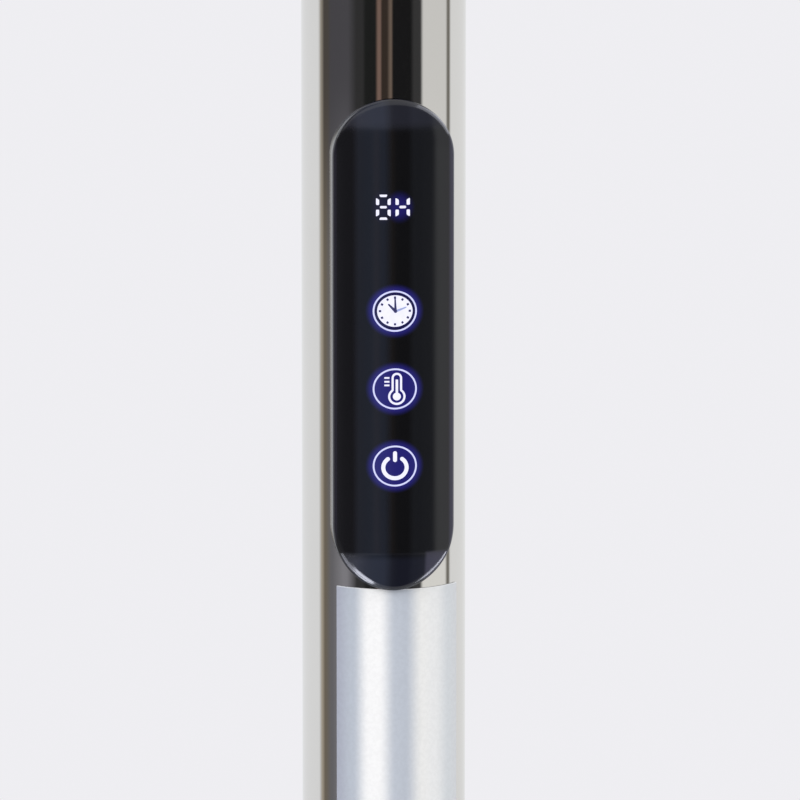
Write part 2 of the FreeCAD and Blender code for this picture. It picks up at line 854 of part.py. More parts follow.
def on_upright_wall(name, diameter, length, facing, level):
    # a small capsule lying against the inside of the right upright
    from_axis = f"({UPRIGHT_BORE} - {diameter} / 2 - dims.fit_gap)"
    made = cylinder(
        name, f"{diameter} / 2", length, SIDE_X["right"], f"{AXIS_Y} + {facing} * {from_axis}", level
    )
    return keep(name, made)


def sensing():
    on_upright_wall(
        "temperature_sensor",
        "dims.sensor_diameter",
        "dims.sensor_length",
        -1,
        f"{PANEL_Z} + {TRAY_HALF_LENGTH} + dims.sensor_rise",
    )
    on_upright_wall(
        "thermal_fuse",
        "dims.fuse_diameter",
        "dims.fuse_length",
        1,
        f"{PANEL_Z} + {TRAY_HALF_LENGTH} - dims.fuse_drop",
    )


def rounded_wire(points, radius):
    # straight runs in the ladder's plane, joined by tangent arcs at every corner
    edges = []
    start = points[0]
    for before, corner, after in zip(points, points[1:], points[2:]):
        arriving = (corner - before).normalize()
        leaving = (after - corner).normalize()
        reach = radius * math.tan(arriving.getAngle(leaving) / 2)
        into = corner - arriving * reach
        out = corner + leaving * reach
        inward = (leaving - arriving).normalize()
        to_centre = radius / math.cos(arriving.getAngle(leaving) / 2)
        middle = corner + inward * (to_centre - radius)
        edges.append(Part.LineSegment(start, into).toShape())
        edges.append(Part.Arc(into, middle, out).toShape())
        start = out
    edges.append(Part.LineSegment(start, points[-1]).toShape())
    return Part.Wire(edges)


def cable_route(levels, first_x, start_z, tail):
    # down one upright's outer side, then to and fro through the bars at the bottom of their bores
    rest = size(f"{BAR_BORE} - dims.cable_diameter / 2 - dims.cable_gap")
    depth = size(AXIS_Y)
    x = first_x
    points = [FreeCAD.Vector(x, depth, start_z)]
    for level in levels:
        z = size(level) - rest
        points.append(FreeCAD.Vector(x, depth, z))
        x = -x
        points.append(FreeCAD.Vector(x, depth, z))
    points.append(FreeCAD.Vector(x, depth, size(levels[-1]) + tail))
    return points


def heating_cable(name, levels, start_z):
    run_x = size(f"{SIDE_X['right']} + dims.cable_offset")
    points = cable_route(levels, run_x, start_z, size("dims.cable_tail"))
    route = rounded_wire(points, size("dims.cable_bend"))
    radius = size("dims.cable_diameter / 2")
    section = Part.Wire(Part.makeCircle(radius, points[0], points[1] - points[0]))
    made = doc.addObject("Part::Feature", name)
    made.Shape = route.makePipeShell([section], True, False)
    filled = made.Shape.Volume / (math.pi * radius**2 * route.Length)
    print(f"{name}: {route.Length:.0f} mm long, volume {filled:.4f} of section times length")
    keep(name, made)
    return points[-1]


def end_seal(name, tip):
    # a blind sleeve over a cable's far end
    overlap = size("dims.end_seal_overlap")
    foot = tip - FreeCAD.Vector(0, 0, overlap)
    bore = "dims.cable_diameter / 2 + dims.fit_gap"
    sleeve = cylinder(f"{name}_sleeve", "dims.end_seal_diameter / 2", "dims.end_seal_length")
    socket = cylinder(f"{name}_socket", bore, "dims.end_seal_overlap + dims.fit_gap")
    made = cut(name, sleeve, socket)
    made.Placement = FreeCAD.Placement(foot, FreeCAD.Rotation())
    return made


def heating():
    top = size(f"{PANEL_Z} + {TRAY_HALF_LENGTH}")
    bottom = size(f"{PANEL_Z} - {TRAY_HALF_LENGTH}")
    above = BAR_LEVELS[FIRST_BAR_ABOVE_CONTROL:]
    below = BAR_LEVELS[LAST_BAR_BELOW_CONTROL::-1]
    upper_tip = heating_cable("heating_cable_upper", above, top)
    lower_tip = heating_cable("heating_cable_lower", below, bottom)
    seals = [end_seal("upper_end_seal", upper_tip), end_seal("lower_end_seal", lower_tip)]
    keep("cable_end_seals", group("cable_end_seals", *seals))


# Plain silver foil stuck on the upright under the panel


def foil_patch():
    span = f"(dims.foil_arc / {UPRIGHT_RADIUS} * 180 / pi)"
    inner = f"({UPRIGHT_RADIUS} + dims.foil_glue)"
    sector = cylinder("foil_sector", f"{inner} + dims.foil_thickness", "dims.foil_length")
    bind(sector, Angle=span)
    made = cut("foil_patch", sector, cylinder("foil_core", inner, "dims.foil_length"))
    top = f"({PANEL_Z} - dims.panel_length / 2 - dims.foil_drop)"
    start_angle = size(f"-90 + dims.foil_turn - {span} / 2")
    place(
        made,
        SIDE_X["right"],
        AXIS_Y,
        f"{top} - dims.foil_length",
        FreeCAD.Rotation(FreeCAD.Vector(0, 0, 1), start_angle),
    )
    keep("foil_patch", made)


ladder()
brackets()
gland()
panel_cover()
panel_gasket()
control_tray()
circuit_board()
light_shroud()
display_module()
touch_springs()
key_lamps()
rear_components()
retaining_clips()
sensing()
heating()
foil_patch()
doc.recompute()

for thing in doc.Objects:
    if "Invalid" in thing.State or "Error" in thing.State:
        raise RuntimeError(f"{thing.Label} failed to build: {thing.State}")

for piece in pieces:
    shape = piece.Shape
    if shape.isNull() or not shape.isValid() or not shape.Solids:
        raise RuntimeError(f"{piece.Label} has no valid solid")

os.makedirs("parts", exist_ok=True)
for piece in pieces:
    piece.Shape.exportStep(f"parts/{piece.Label}.step")
print(f"{len(pieces)} sub-parts, {sum(len(p.Shape.Solids) for p in pieces)} solids")
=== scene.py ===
import json
import math

import bmesh
import bpy
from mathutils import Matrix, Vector

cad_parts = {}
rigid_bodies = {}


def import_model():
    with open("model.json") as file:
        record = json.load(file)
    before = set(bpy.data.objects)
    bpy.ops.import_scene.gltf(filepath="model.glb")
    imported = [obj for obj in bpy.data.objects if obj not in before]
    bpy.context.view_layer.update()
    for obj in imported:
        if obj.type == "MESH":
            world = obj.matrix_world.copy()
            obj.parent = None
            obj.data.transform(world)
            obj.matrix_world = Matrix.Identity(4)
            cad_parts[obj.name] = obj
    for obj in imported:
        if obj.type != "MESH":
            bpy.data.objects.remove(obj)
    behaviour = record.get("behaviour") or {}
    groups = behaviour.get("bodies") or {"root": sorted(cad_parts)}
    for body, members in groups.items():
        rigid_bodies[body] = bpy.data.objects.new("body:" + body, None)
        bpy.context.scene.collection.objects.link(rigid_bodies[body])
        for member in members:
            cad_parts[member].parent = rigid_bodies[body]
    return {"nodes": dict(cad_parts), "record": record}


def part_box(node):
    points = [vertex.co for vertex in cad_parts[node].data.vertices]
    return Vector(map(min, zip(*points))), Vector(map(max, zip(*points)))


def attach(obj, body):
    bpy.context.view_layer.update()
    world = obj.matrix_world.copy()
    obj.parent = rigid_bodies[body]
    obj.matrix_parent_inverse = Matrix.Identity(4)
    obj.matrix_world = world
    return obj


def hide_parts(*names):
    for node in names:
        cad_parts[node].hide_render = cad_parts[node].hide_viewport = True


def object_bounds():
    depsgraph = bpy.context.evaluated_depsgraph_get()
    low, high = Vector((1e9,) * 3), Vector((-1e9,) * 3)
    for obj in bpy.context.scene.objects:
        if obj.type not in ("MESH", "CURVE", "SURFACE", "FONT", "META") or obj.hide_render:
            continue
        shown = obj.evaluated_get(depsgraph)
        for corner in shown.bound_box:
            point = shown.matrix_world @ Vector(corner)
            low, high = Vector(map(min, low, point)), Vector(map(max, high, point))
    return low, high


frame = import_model()
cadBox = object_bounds()
nodes = frame["nodes"]
print("frame loaded,", len(nodes), "nodes")

mm = 0.001
xAxis, yAxis, zAxis = range(3)
scene = bpy.context.scene


# small helpers for meshes

mend = {"join": 1e-7, "thin": 1e-8}  # points this close become one, and faces this thin go


def inScene(name, data):
    made = bpy.data.objects.new(name, data)
    scene.collection.objects.link(made)
    return made


def closedMesh(name, points, faces):
    mesh = bpy.data.meshes.new(name)
    mesh.from_pydata([tuple(p) for p in points], [], faces)
    mended = bmesh.new()
    mended.from_mesh(mesh)
    bmesh.ops.remove_doubles(mended, verts=mended.verts, dist=mend["join"])
    bmesh.ops.dissolve_degenerate(mended, edges=mended.edges, dist=mend["thin"])
    bmesh.ops.recalc_face_normals(mended, faces=mended.faces)
    mended.to_mesh(mesh)
    mended.free()
    return mesh


def addPiece(name, points, faces, finish, slot, sharpAngle=40):
    mesh = closedMesh(name, points, faces)
    mesh.shade_smooth()
    mesh.set_sharp_from_angle(angle=math.radians(sharpAngle))
    mesh.materials.append(finish)
    piece = inScene(name, mesh)
    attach(piece, "rack")
    return piece


def gridFaces(rows, columns, closedRows=False, closedColumns=False, start=0):
    # quads of a grid that is stored row by row
    faces = []
    for r in range(rows if closedRows else rows - 1):
        below = (r + 1) % rows
        for c in range(columns if closedColumns else columns - 1):
            beside = (c + 1) % columns
            corner = [(r, c), (r, beside), (below, beside), (below, c)]
            faces.append([start + row * columns + column for row, column in corner])
    return faces


def capFaces(first, last, count):
    # the faces that close both ends of a row of loops
    return [[first + k for k in range(count)], [last + k for k in reversed(range(count))]]


def lofted(loops, closedRows=False):
    # a skin from loop to loop, and back to the first where it is closed
    points = [p for loop in loops for p in loop]
    return points, gridFaces(len(loops), len(loops[0]), closedRows=closedRows, closedColumns=True)


def span(first, last, steps):
    return [first + (last - first) * k / steps for k in range(steps + 1)]


def fullTurn(steps):
    return span(0, 2 * math.pi, steps)[:-1]


# small helpers for shader nodes


def newFinish(name, colour, roughness, metallic=0.0):
    finish = bpy.data.materials.new(name)
    finish.use_nodes = True
    tree = finish.node_tree
    shader = tree.nodes["Principled BSDF"]
    feed(tree, shader, {"Base Color": (*colour, 1), "Roughness": roughness, "Metallic": metallic})
    return finish, shader, tree


def addNode(tree, kind, inputs=None, **settings):
    made = tree.nodes.new(kind)
    for name, value in settings.items():
        setattr(made, name, value)
    feed(tree, made, inputs or {})
    return made


def feed(tree, node, inputs):
    # a link where another node gives the value, or else the value itself
    for key, value in inputs.items():
        if isinstance(value, bpy.types.NodeSocket):
            tree.links.new(value, node.inputs[key])
        else:
            node.inputs[key].default_value = value


def sums(tree, operation, *values):
    return addNode(tree, "ShaderNodeMath", dict(enumerate(values)), operation=operation).outputs[0]


def mapped(tree, value, low, high, toLow=0.0, toHigh=1.0, soft=True):
    limits = dict(enumerate((value, low, high, toLow, toHigh)))
    smooth = "SMOOTHSTEP" if soft else "LINEAR"
    return addNode(tree, "ShaderNodeMapRange", limits, interpolation_type=smooth).outputs[0]


def mixed(tree, share, first, second, blend="MIX"):
    first, second = (c if isinstance(c, bpy.types.NodeSocket) else (*c, 1) for c in (first, second))
    inputs = {0: share, 6: first, 7: second}
    return addNode(tree, "ShaderNodeMix", inputs, data_type="RGBA", blend_type=blend).outputs[2]


def ramped(tree, value, stops, smooth="LINEAR"):
    made = addNode(tree, "ShaderNodeValToRGB", {0: value})
    made.color_ramp.interpolation = smooth
    ends = made.color_ramp.elements
    for k, (spot, colour) in enumerate(stops):
        stop = ends[k] if k < 2 else ends.new(spot)  # a new ramp has two stops
        stop.position = spot
        stop.color = (*colour, 1)
    return made.outputs[0]


def placeIn(tree, kind="Object"):
    return addNode(tree, "ShaderNodeTexCoord").outputs[kind]


def axesOf(tree, place):
    return list(addNode(tree, "ShaderNodeSeparateXYZ", {0: place}).outputs)


def grain(tree, scale, detail=3.0, stretch=(1, 1, 1)):
    # noise laid on the piece's own place, so it moves with the piece
    scaled = addNode(tree, "ShaderNodeMapping", {"Scale": stretch, "Vector": placeIn(tree)})
    inputs = {"Scale": scale, "Detail": detail, "Vector": scaled.outputs[0]}
    return addNode(tree, "ShaderNodeTexNoise", inputs).outputs["Fac"]


def raised(tree, height, depth, strength):
    inputs = {"Strength": strength, "Distance": depth, "Height": height}
    return addNode(tree, "ShaderNodeBump", inputs).outputs[0]


noiseSpan = (0.3, 0.7)  # most of a noise lies between these
skin = {"blotchScale": 160, "fineScale": 900, "gloss": (0.85, 1.15), "depth": 0.02 * mm, "strength": 0.5}


def moulded(name, colour, roughness, mottle=0.12, metallic=0.0):
    # plain plastics, rubbers and castings: a mottled colour, uneven gloss and a fine skin
    finish, shader, tree = newFinish(name, colour, roughness, metallic)
    blotch = mapped(tree, grain(tree, skin["blotchScale"]), *noiseSpan)
    dark = tuple(c * (1 - mottle) for c in colour)
    pale = tuple(c * (1 + mottle) for c in colour)
    fine = grain(tree, skin["fineScale"])
    feed(tree, shader, {
        "Base Color": mixed(tree, blotch, dark, pale),
        "Roughness": mapped(tree, fine, *noiseSpan, *(roughness * share for share in skin["gloss"])),
        "Normal": raised(tree, fine, skin["depth"], skin["strength"]),
    })
    return finish


steel = {
    "colour": (0.74, 0.725, 0.695),
    "dull": 0.965,  # share of that colour where it is hazy
    "bright": 0.035,  # roughness where the polish is best
    "hazy": 0.075,  # and where hands have been
    "hazeScale": 9,
    "hazeTone": (0.3, 0.75),
    "hazeGloss": (0.35, 0.75),
    "lineScale": 420,
    "lineLength": 0.012,  # share of the line's width in its own direction
    "lineDepth": 0.0015 * mm,
    "lineStrength": 0.6,
}


def polishedSteel(name, along):
    finish, shader, tree = newFinish(name, steel["colour"], steel["bright"], metallic=1.0)
    stretch = [1.0, 1.0, 1.0]
    stretch[along] = steel["lineLength"]
    lines = grain(tree, steel["lineScale"], detail=2.0, stretch=stretch)
    hazeAndPaintedReflection = grain(tree, steel["hazeScale"], detail=4.0)
    dull = tuple(c * steel["dull"] for c in steel["colour"])
    feed(tree, shader, {
        "Base Color": mixed(tree, mapped(tree, hazeAndPaintedReflection, *steel["hazeTone"]), steel["colour"], dull),
        "Roughness": mapped(tree, hazeAndPaintedReflection, *steel["hazeGloss"], steel["bright"], steel["hazy"]),
        "Normal": raised(tree, lines, steel["lineDepth"], steel["lineStrength"]),
    })
    return finish


steelUpright = polishedSteel("steel_upright", zAxis)
steelBar = polishedSteel("steel_bar", xAxis)
steelBracket = polishedSteel("steel_bracket", yAxis)


# uprights and bars as fine tubes, so that the polish mirrors cleanly

tubes = {
    "steps": 128,
    "uprightWall": 1.2 * mm,
    "barWall": 1.0 * mm,
    "holeGap": 0.1 * mm,
    "holeReach": 1.3,  # how far a bar's hole is cut from the axis, in radii of the upright
    "cutSteps": 96,
    "roundSlack": 0.01 * mm,
    "endLean": 0.5,  # faces that look up or down more than this are ends
}
barSide = {"left": 1, "right": -1}  # which way the bars lie from each upright
barNodes = sorted(name for name in nodes if name.startswith("bar_"))
stemNodes = sorted(name for name in nodes if name.startswith("stem_"))


def middleOf(node):
    low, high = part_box(node)
    return (low + high) / 2


def halfOf(node, axis):
    low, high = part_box(node)
    return (high[axis] - low[axis]) / 2


def ringAt(centre, radius, axis, steps):
    # points round a centre, square to the axis
    others = [k for k in range(3) if k != axis]
    ring = []
    for angle in fullTurn(steps):
        point = Vector(centre)
        point[others[0]] += radius * math.cos(angle)
        point[others[1]] += radius * math.sin(angle)
        ring.append(point)
    return ring


def tubeMesh(node, axis, radius, wall):
    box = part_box(node)
    loops = []
    for end, reach in ((0, radius), (1, radius), (1, radius - wall), (0, radius - wall)):
        centre = middleOf(node)
        centre[axis] = box[end][axis]
        loops.append(ringAt(centre, reach, axis, tubes["steps"]))
    return lofted(loops, closedRows=True)


def cutter(loops):
    points, faces = lofted(loops)
    count = len(loops[0])
    return inScene("hole", closedMesh("hole", points, faces + capFaces(0, len(points) - count, count)))


def carve(piece, cutters):
    for tool in cutters:
        step = piece.modifiers.new("cut", "BOOLEAN")
        step.operation, step.solver, step.object = "DIFFERENCE", "EXACT", tool
    bpy.context.view_layer.update()
    shaped = piece.evaluated_get(bpy.context.evaluated_depsgraph_get())
    carved = bpy.data.meshes.new_from_object(shaped)
    piece.modifiers.clear()
    old, piece.data = piece.data, carved
    bpy.data.meshes.remove(old)
    for tool in cutters:
        bpy.data.meshes.remove(tool.data)


def roundNormals(piece, centre, radii):
    # exact round shading on the tube's outside and inside, flat shading on its cuts
    mesh = piece.data
    mesh.shade_smooth()
    normals = [None] * len(mesh.loops)
    for face in mesh.polygons:
        corners = [mesh.vertices[v].co for v in face.vertices]
        arms = [Vector((corner.x - centre.x, corner.y - centre.y, 0)) for corner in corners]
        isRound = any(all(abs(arm.length - r) < tubes["roundSlack"] for arm in arms) for r in radii)
        isRound = isRound and abs(face.normal.z) < tubes["endLean"]
        for loop, arm in zip(face.loop_indices, arms):
            out = arm.normalized()
            normals[loop] = (out if out.dot(face.normal) > 0 else -out) if isRound else face.normal.copy()
    mesh.normals_split_custom_set(normals)


def makeUprights():
    for side, way in barSide.items():
        node = "upright_" + side
        radius, centre = halfOf(node, yAxis), middleOf(node)
        shape = tubeMesh(node, zAxis, radius, tubes["uprightWall"])
        piece = addPiece("tube_" + node, *shape, steelUpright, "polished_steel")
        tools = []
        for bar in barNodes:
            middle = middleOf(bar)
            ends = []
            for reach in (0.0, radius * tubes["holeReach"]):
                ends.append(Vector((centre.x + way * reach, middle.y, middle.z)))
            hole = halfOf(bar, zAxis) + tubes["holeGap"]
            tools.append(cutter([ringAt(end, hole, xAxis, tubes["cutSteps"]) for end in ends]))
        carve(piece, tools)
        roundNormals(piece, centre, (radius, radius - tubes["uprightWall"]))
        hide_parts(node)


def makeBars():
    for node in barNodes:
        shape = tubeMesh(node, xAxis, halfOf(node, zAxis), tubes["barWall"])
        piece = addPiece("tube_" + node, *shape, steelBar, "polished_steel")
        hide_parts(node)


# weld beads where the bars and the bracket stems meet the uprights

weld = {
    "bead": 0.8 * mm,
    "aroundSteps": 72,
    "beadSteps": 10,
    "ripple": 0.07,
    "rippleCount": 40,
    "sharpAngle": 80,
}


def weldBead(name, centre, radius, tube, axis, sign, finish):
    # follows the line where a rod of this radius, along this axis, meets a tube that stands upright
    other = 1 - axis
    path, outs = [], []
    for angle in fullTurn(weld["aroundSteps"]):
        across, up = radius * math.cos(angle), radius * math.sin(angle)
        point = Vector(centre)
        point[axis] += sign * math.sqrt(tube ** 2 - across ** 2)
        point[other] += across
        point.z += up
        out = Vector((0, 0, math.sin(angle)))
        out[other] = math.cos(angle)
        path.append(point)
        outs.append(out)
    loops = []
    for k, (point, out) in enumerate(zip(path, outs)):
        ahead = (path[(k + 1) % len(path)] - path[k - 1]).normalized()
        side = ahead.cross(out).normalized()
        wave = math.sin(weld["rippleCount"] * 2 * math.pi * k / len(path))
        size = weld["bead"] * (1 + weld["ripple"] * wave)
        turns = fullTurn(weld["beadSteps"])
        loops.append([point + out * size * math.cos(a) + side * size * math.sin(a) for a in turns])
    addPiece(name, *lofted(loops, closedRows=True), finish, "polished_steel", weld["sharpAngle"])


def makeWelds():
    for side, way in barSide.items():
        node = "upright_" + side
        tube, centre = halfOf(node, yAxis), middleOf(node)
        for bar in barNodes:
            spot = (centre.x, middleOf(bar).y, middleOf(bar).z)
            weldBead(f"weld_{bar}_{side}", spot, halfOf(bar, zAxis), tube, xAxis, way, steelBar)
        for stem in stemNodes:
            if stem.endswith(side):
                spot = (centre.x, centre.y, middleOf(stem).z)
                weldBead("weld_" + stem, spot, halfOf(stem, xAxis), tube, yAxis, 1, steelBracket)


makeUprights()
makeBars()
makeWelds()
print("tubes and welds made")


# control panel: a black crowned capsule whose ends slope back to the tube

panel = {
    "crown": 22 * mm,
    "slopeLength": {"top": 7 * mm, "bottom": 7.5 * mm},
    "slopeAngle": 18,
    "bendRound": {"top": 14 * mm, "bottom": 2 * mm},
    "edgeRound": 1.7 * mm,
    "shoulderRound": 1.0 * mm,  # what the lower shoulders have more
    "endLength": {"top": 11.0 * mm, "bottom": 12.9 * mm},
    "lowerReach": 0.3 * mm,  # how much further down the tip over the foil hangs
    "sideWall": 1.6 * mm,
    "endWall": 4.5 * mm,
    "roofWall": 1.6 * mm,
    "gasket": 0.6 * mm,
    "gasketInset": 0.25 * mm,
    "acrossSteps": 48,
    "straightSteps": 16,
    "endSteps": 120,
    "roundSteps": 18,
    "colour": (0.006, 0.006, 0.0068),
    "hazeAndPaintedReflection": (  # painted reflection: faint upright bands of the room's reflection painted into the smoked front's colour: place across it in mm, and colour
        (-11.25, (0.015, 0.014, 0.022)),
        (-10.95, (0.0072, 0.007, 0.0088)),
        (-8.2, (0.0072, 0.007, 0.0088)),
        (-7.0, (0.0145, 0.0158, 0.0222)),
        (-4.2, (0.013, 0.0162, 0.0245)),
        (-2.2, (0.0122, 0.015, 0.0232)),
        (-0.6, (0.0048, 0.0048, 0.0056)),
        (2.4, (0.0048, 0.0048, 0.0056)),
        (3.6, (0.0088, 0.0094, 0.0115)),
        (9.2, (0.0082, 0.0088, 0.011)),
        (10.5, (0.0066, 0.0068, 0.0095)),
        (11.05, (0.03, 0.029, 0.051)),
    ),
    "slopePaintedReflection": {"top": (0.007, 0.0075, 0.0125), "bottom": (0.0043, 0.0051, 0.0112)},  # painted reflection of the room, added to the colour on the slopes
    "slopeFade": {"top": (0.6 * mm, 3.2 * mm), "bottom": (0.0, 1.7 * mm)},  # where the slopes' painted reflection fades in, past the bend
    "paintedLitEdge": {  # painted light on the steep edge along the sides and shoulders, where light falls on it, left off near the lower tip
        "tone": (0.125, 0.13, 0.145),
        "lean": (0.11, 0.35),
        "across": (3 * mm, 8 * mm),
        "above": (-44 * mm, -41 * mm),
    },
    "slopeSheens": (  # painted sheen on the lower slope, standing in for its reflections: which side, its limits across and past the bend, and colour
        (1.0, (5.5 * mm, 6.4 * mm), (-0.5 * mm, 0.4 * mm), (0.034, 0.032, 0.048)),
        (-1.0, (-0.8 * mm, 2.0 * mm), (0.0, 1.7 * mm), (0.0075, 0.0081, 0.0095)),
    ),
    "mattEnd": {  # the lower slope shines on its rounded edge alone
        "steep": (0.48, 0.7),
        "flat": (0.88, 0.94),
        "from": -36 * mm,
        "to": -39 * mm,
        "past": (0.0, 0.6 * mm),
        "specular": (0.5, 0.06),
    },
    "roughness": (0.13, 0.17),
    "smearScale": 60,
    "smear": (0.3, 0.8),
    "ior": 1.46,
}

coverLow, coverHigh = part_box("panel_cover")
panelX = (coverLow.x + coverHigh.x) / 2
panelZ = (coverLow.z + coverHigh.z) / 2
panelWidth = coverHigh.x - coverLow.x
panelLength = coverHigh.z - coverLow.z
crownAxisY = coverLow.y + panel["crown"]
uprightLow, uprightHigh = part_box("upright_right")
tubeRadius = (uprightHigh.y - uprightLow.y) / 2
tubeX, tubeY = (uprightLow.x + uprightHigh.x) / 2, (uprightLow.y + uprightHigh.y) / 2


def crownY(x, inset=0.0):
    return crownAxisY - math.sqrt((panel["crown"] - inset) ** 2 - x * x)


def slopeFrom(end):
    return panelLength / 2 - panel["slopeLength"][end]


def slopeDrop(z):
    # how far a sloping end has gone back at this height, with the bend rounded
    end = "top" if z > 0 else "bottom"
    angle = math.radians(panel["slopeAngle"])
    bend = panel["bendRound"][end]
    lead = bend * math.tan(angle / 2)
    past = abs(z) - slopeFrom(end)
    if past < -lead:
        return 0.0
    turn = past + lead
    if turn < bend * math.sin(angle):
        return bend - math.sqrt(bend ** 2 - turn * turn)
    return past * math.tan(angle)


def frontY(x, z, inset=0.0):
    return crownY(x, inset) + slopeDrop(z)


def roofY(x, z):
    return frontY(x, z, panel["roofWall"])


def seatY(x, lift=panel["gasket"]):
    # the face that lies on the gasket, or lower faces of the gasket itself
    return tubeY - math.sqrt((tubeRadius + lift) ** 2 - x * x)


def capsuleSide(halfWidth, topZ, bottomZ, topLength, bottomLength):
    # right side of a capsule from its top to its bottom: x, z and the outward direction
    def quarter(fromAngle, toAngle, endLength, centre):
        for angle in span(fromAngle, toAngle, panel["endSteps"]):
            out = Vector((math.cos(angle) / halfWidth, math.sin(angle) / endLength)).normalized()
            side.append((halfWidth * math.cos(angle), centre + endLength * math.sin(angle), out.x, out.y))

    side = []
    top, bottom = topZ - topLength, bottomZ + bottomLength
    quarter(math.pi / 2, 0, topLength, top)
    side += [(halfWidth, z, 1.0, 0.0) for z in span(top, bottom, panel["straightSteps"])[1:-1]]
    quarter(0, -math.pi / 2, bottomLength, bottom)
    return side


def bothSides(half):
    # closes a list of right-hand points with its mirror image
    return half + [(-x, y, z) for x, y, z in reversed(half[1:-1])]


def edgeRoundAt(x, z):
    length = panel["endLength"]["bottom"]
    past = max(0.0, length - panel["lowerReach"] - panelLength / 2 - z) / length
    return panel["edgeRound"] + panel["shoulderRound"] * (2 * past * x / (panelWidth / 2)) ** 2


def panelOutline(inset=0.0):
    tips = panelLength / 2 - inset, inset - panelLength / 2 - panel["lowerReach"]
    ends = [panel["endLength"][end] - inset for end in ("top", "bottom")]
    return capsuleSide(panelWidth / 2 - inset, *tips, *ends)


def cavityOutline():
    innerHalf, tip = panelWidth / 2 - panel["sideWall"], panelLength / 2 - panel["endWall"]
    return capsuleSide(innerHalf, tip, -tip, innerHalf, innerHalf)


def gasketRing():
    outer, inner = panelOutline(panel["gasketInset"]), cavityOutline()
    loops = []
    for side, lift in ((outer, panel["gasket"]), (outer, 0.0), (inner, 0.0), (inner, panel["gasket"])):
        loop = bothSides([(x, seatY(x, lift), z) for x, z, _, _ in side])
        loops.append([(panelX + x, y, panelZ + z) for x, y, z in loop])
    return lofted(loops, closedRows=True)


def panelShell():
    outline, cavity = panelOutline(), cavityOutline()
    step = 1e-6
    rings = [[] for _ in range(panel["roundSteps"] + 1)]
    for x, z, outX, outZ in outline:
        edge = frontY(x, z)
        fall = (edge - frontY(x - outX * step, z - outZ * step)) / step
        lean = math.atan(fall)
        turn = math.pi / 2 - lean
        radius = edgeRoundAt(x, z)
        lead = radius * math.tan(turn / 2)
        for ring, share in zip(rings, span(0, 1, panel["roundSteps"])):
            angle = lean + turn * share
            inward = radius * (1 - math.sin(angle))
            back = lead - radius * math.cos(angle) + fall * inward
            ringX, ringZ = x - outX * inward, z - outZ * inward
            ring.append((ringX, frontY(ringX, ringZ) + back, ringZ))
    seat = [(x, seatY(x), z) for x, z, _, _ in outline]
    mouth = [(x, seatY(x), z) for x, z, _, _ in cavity]
    roof = [(x, max(roofY(x, z), seatY(x)), z) for x, z, _, _ in cavity]
    points, faces = lofted([bothSides(ring) for ring in (*rings, seat, mouth, roof)])
    across = panel["acrossSteps"]
    for boundary, surface in ((rings[0], frontY), (roof, roofY)):
        faces += gridFaces(len(boundary), across + 1, start=len(points))
        for x, y, z in boundary:
            for share in span(-1, 1, across):
                points.append((x * share, y if abs(share) == 1 else surface(x * share, z), z))
    return [(panelX + x, y, panelZ + z) for x, y, z in points], faces


# lit readout and touch signs under the panel's front, placed from the panel's centre

signs = {
    "lift": 0.035 * mm,
    "sink": 0.03 * mm,
    "ringWidth": 8.2 * mm,  # across the middle of the ring's line
    "ringHeight": 7.62 * mm,
    "ringLine": 0.32 * mm,
    "ringSteps": 96,
    "middleX": -0.15 * mm,
    "levels": {"clock": 7.05 * mm, "thermometer": -7.98 * mm, "power": -22.94 * mm},
    "readout": (-0.5 * mm, 27.1 * mm),
    "white": (0.95, 0.95, 1.0),
    "ringWhite": (0.72, 0.745, 0.955),
    "ink": (0.03, 0.03, 0.13),
    "paleInk": (0.36, 0.42, 0.72),
    "inkRoughness": 0.4,
    "litRoughness": 0.3,
    "unevenScale": 700,
    "dim": 0.93,  # share of the light where it is uneven
    "glow": (0.0135, 0.0112, 0.155),
    "glowFrom": 1.04,
    "glowTo": 1.42,
    "faceGlow": 0.4,  # share of the glow that shows between the clock's face and its ring
    "faceRim": (0.95, 1.05),
    "readoutFade": (0.3, 1.2),
}


def onPanel(x, z, lift):
    return Vector((panelX + x, crownY(x) - lift, panelZ + z))


def prism(outline, shape):
    # a flat closed shape laid on the crown
    points, faces = shape
    start, count = len(points), len(outline)
    points += [onPanel(x, z, signs["lift"]) for x, z in outline]
    points += [onPanel(x, z, -signs["sink"]) for x, z in outline]
    faces += capFaces(start, start + count, count)
    for k in range(count):
        after = (k + 1) % count
        faces.append([start + k, start + count + k, start + count + after, start + after])


def stroke(path, width, shape, lift=signs["lift"], closed=False):
    # a line of even or changing width along a path
    points, faces = shape
    start, count = len(points), len(path)
    for k, (x, z) in enumerate(path):
        before = path[k - 1] if k or closed else path[k]
        after = path[(k + 1) % count] if k < count - 1 or closed else path[k]
        along = Vector((after[0] - before[0], after[1] - before[1])).normalized()
        half = (width[k] if isinstance(width, list) else width) / 2
        sideX, sideZ = -along.y * half, along.x * half
        for sign, height in ((1, lift), (-1, lift), (-1, -signs["sink"]), (1, -signs["sink"])):
            points.append(onPanel(x + sign * sideX, z + sign * sideZ, height))
    faces += gridFaces(count, 4, closedRows=closed, closedColumns=True, start=start)
    if not closed:
        faces += capFaces(start, start + 4 * (count - 1), 4)


def arc(centre, radius, fromAngle, toAngle, steps, squash=1.0):
    made = []
    for angle in span(math.radians(fromAngle), math.radians(toAngle), steps):
        made.append((centre[0] + radius * math.cos(angle), centre[1] + radius * squash * math.sin(angle)))
    return made


def disc(centre, radius, shape, lift=signs["lift"], squash=1.0, rings=9, steps=60):
    # a filled round in fine rings, so that it follows the crown
    points, faces = shape
    start = len(points)
    for r in range(1, rings + 1):
        for x, z in arc((0, 0), radius * r / rings, 0, 360, steps, squash)[:-1]:
            points.append(onPanel(centre[0] + x, centre[1] + z, lift))
    for x, z in arc((0, 0), radius, 0, 360, steps, squash)[:-1]:
        points.append(onPanel(centre[0] + x, centre[1] + z, -signs["sink"]))
    faces += gridFaces(rings + 1, steps, closedColumns=True, start=start)
    faces += capFaces(start, start + rings * steps, steps)


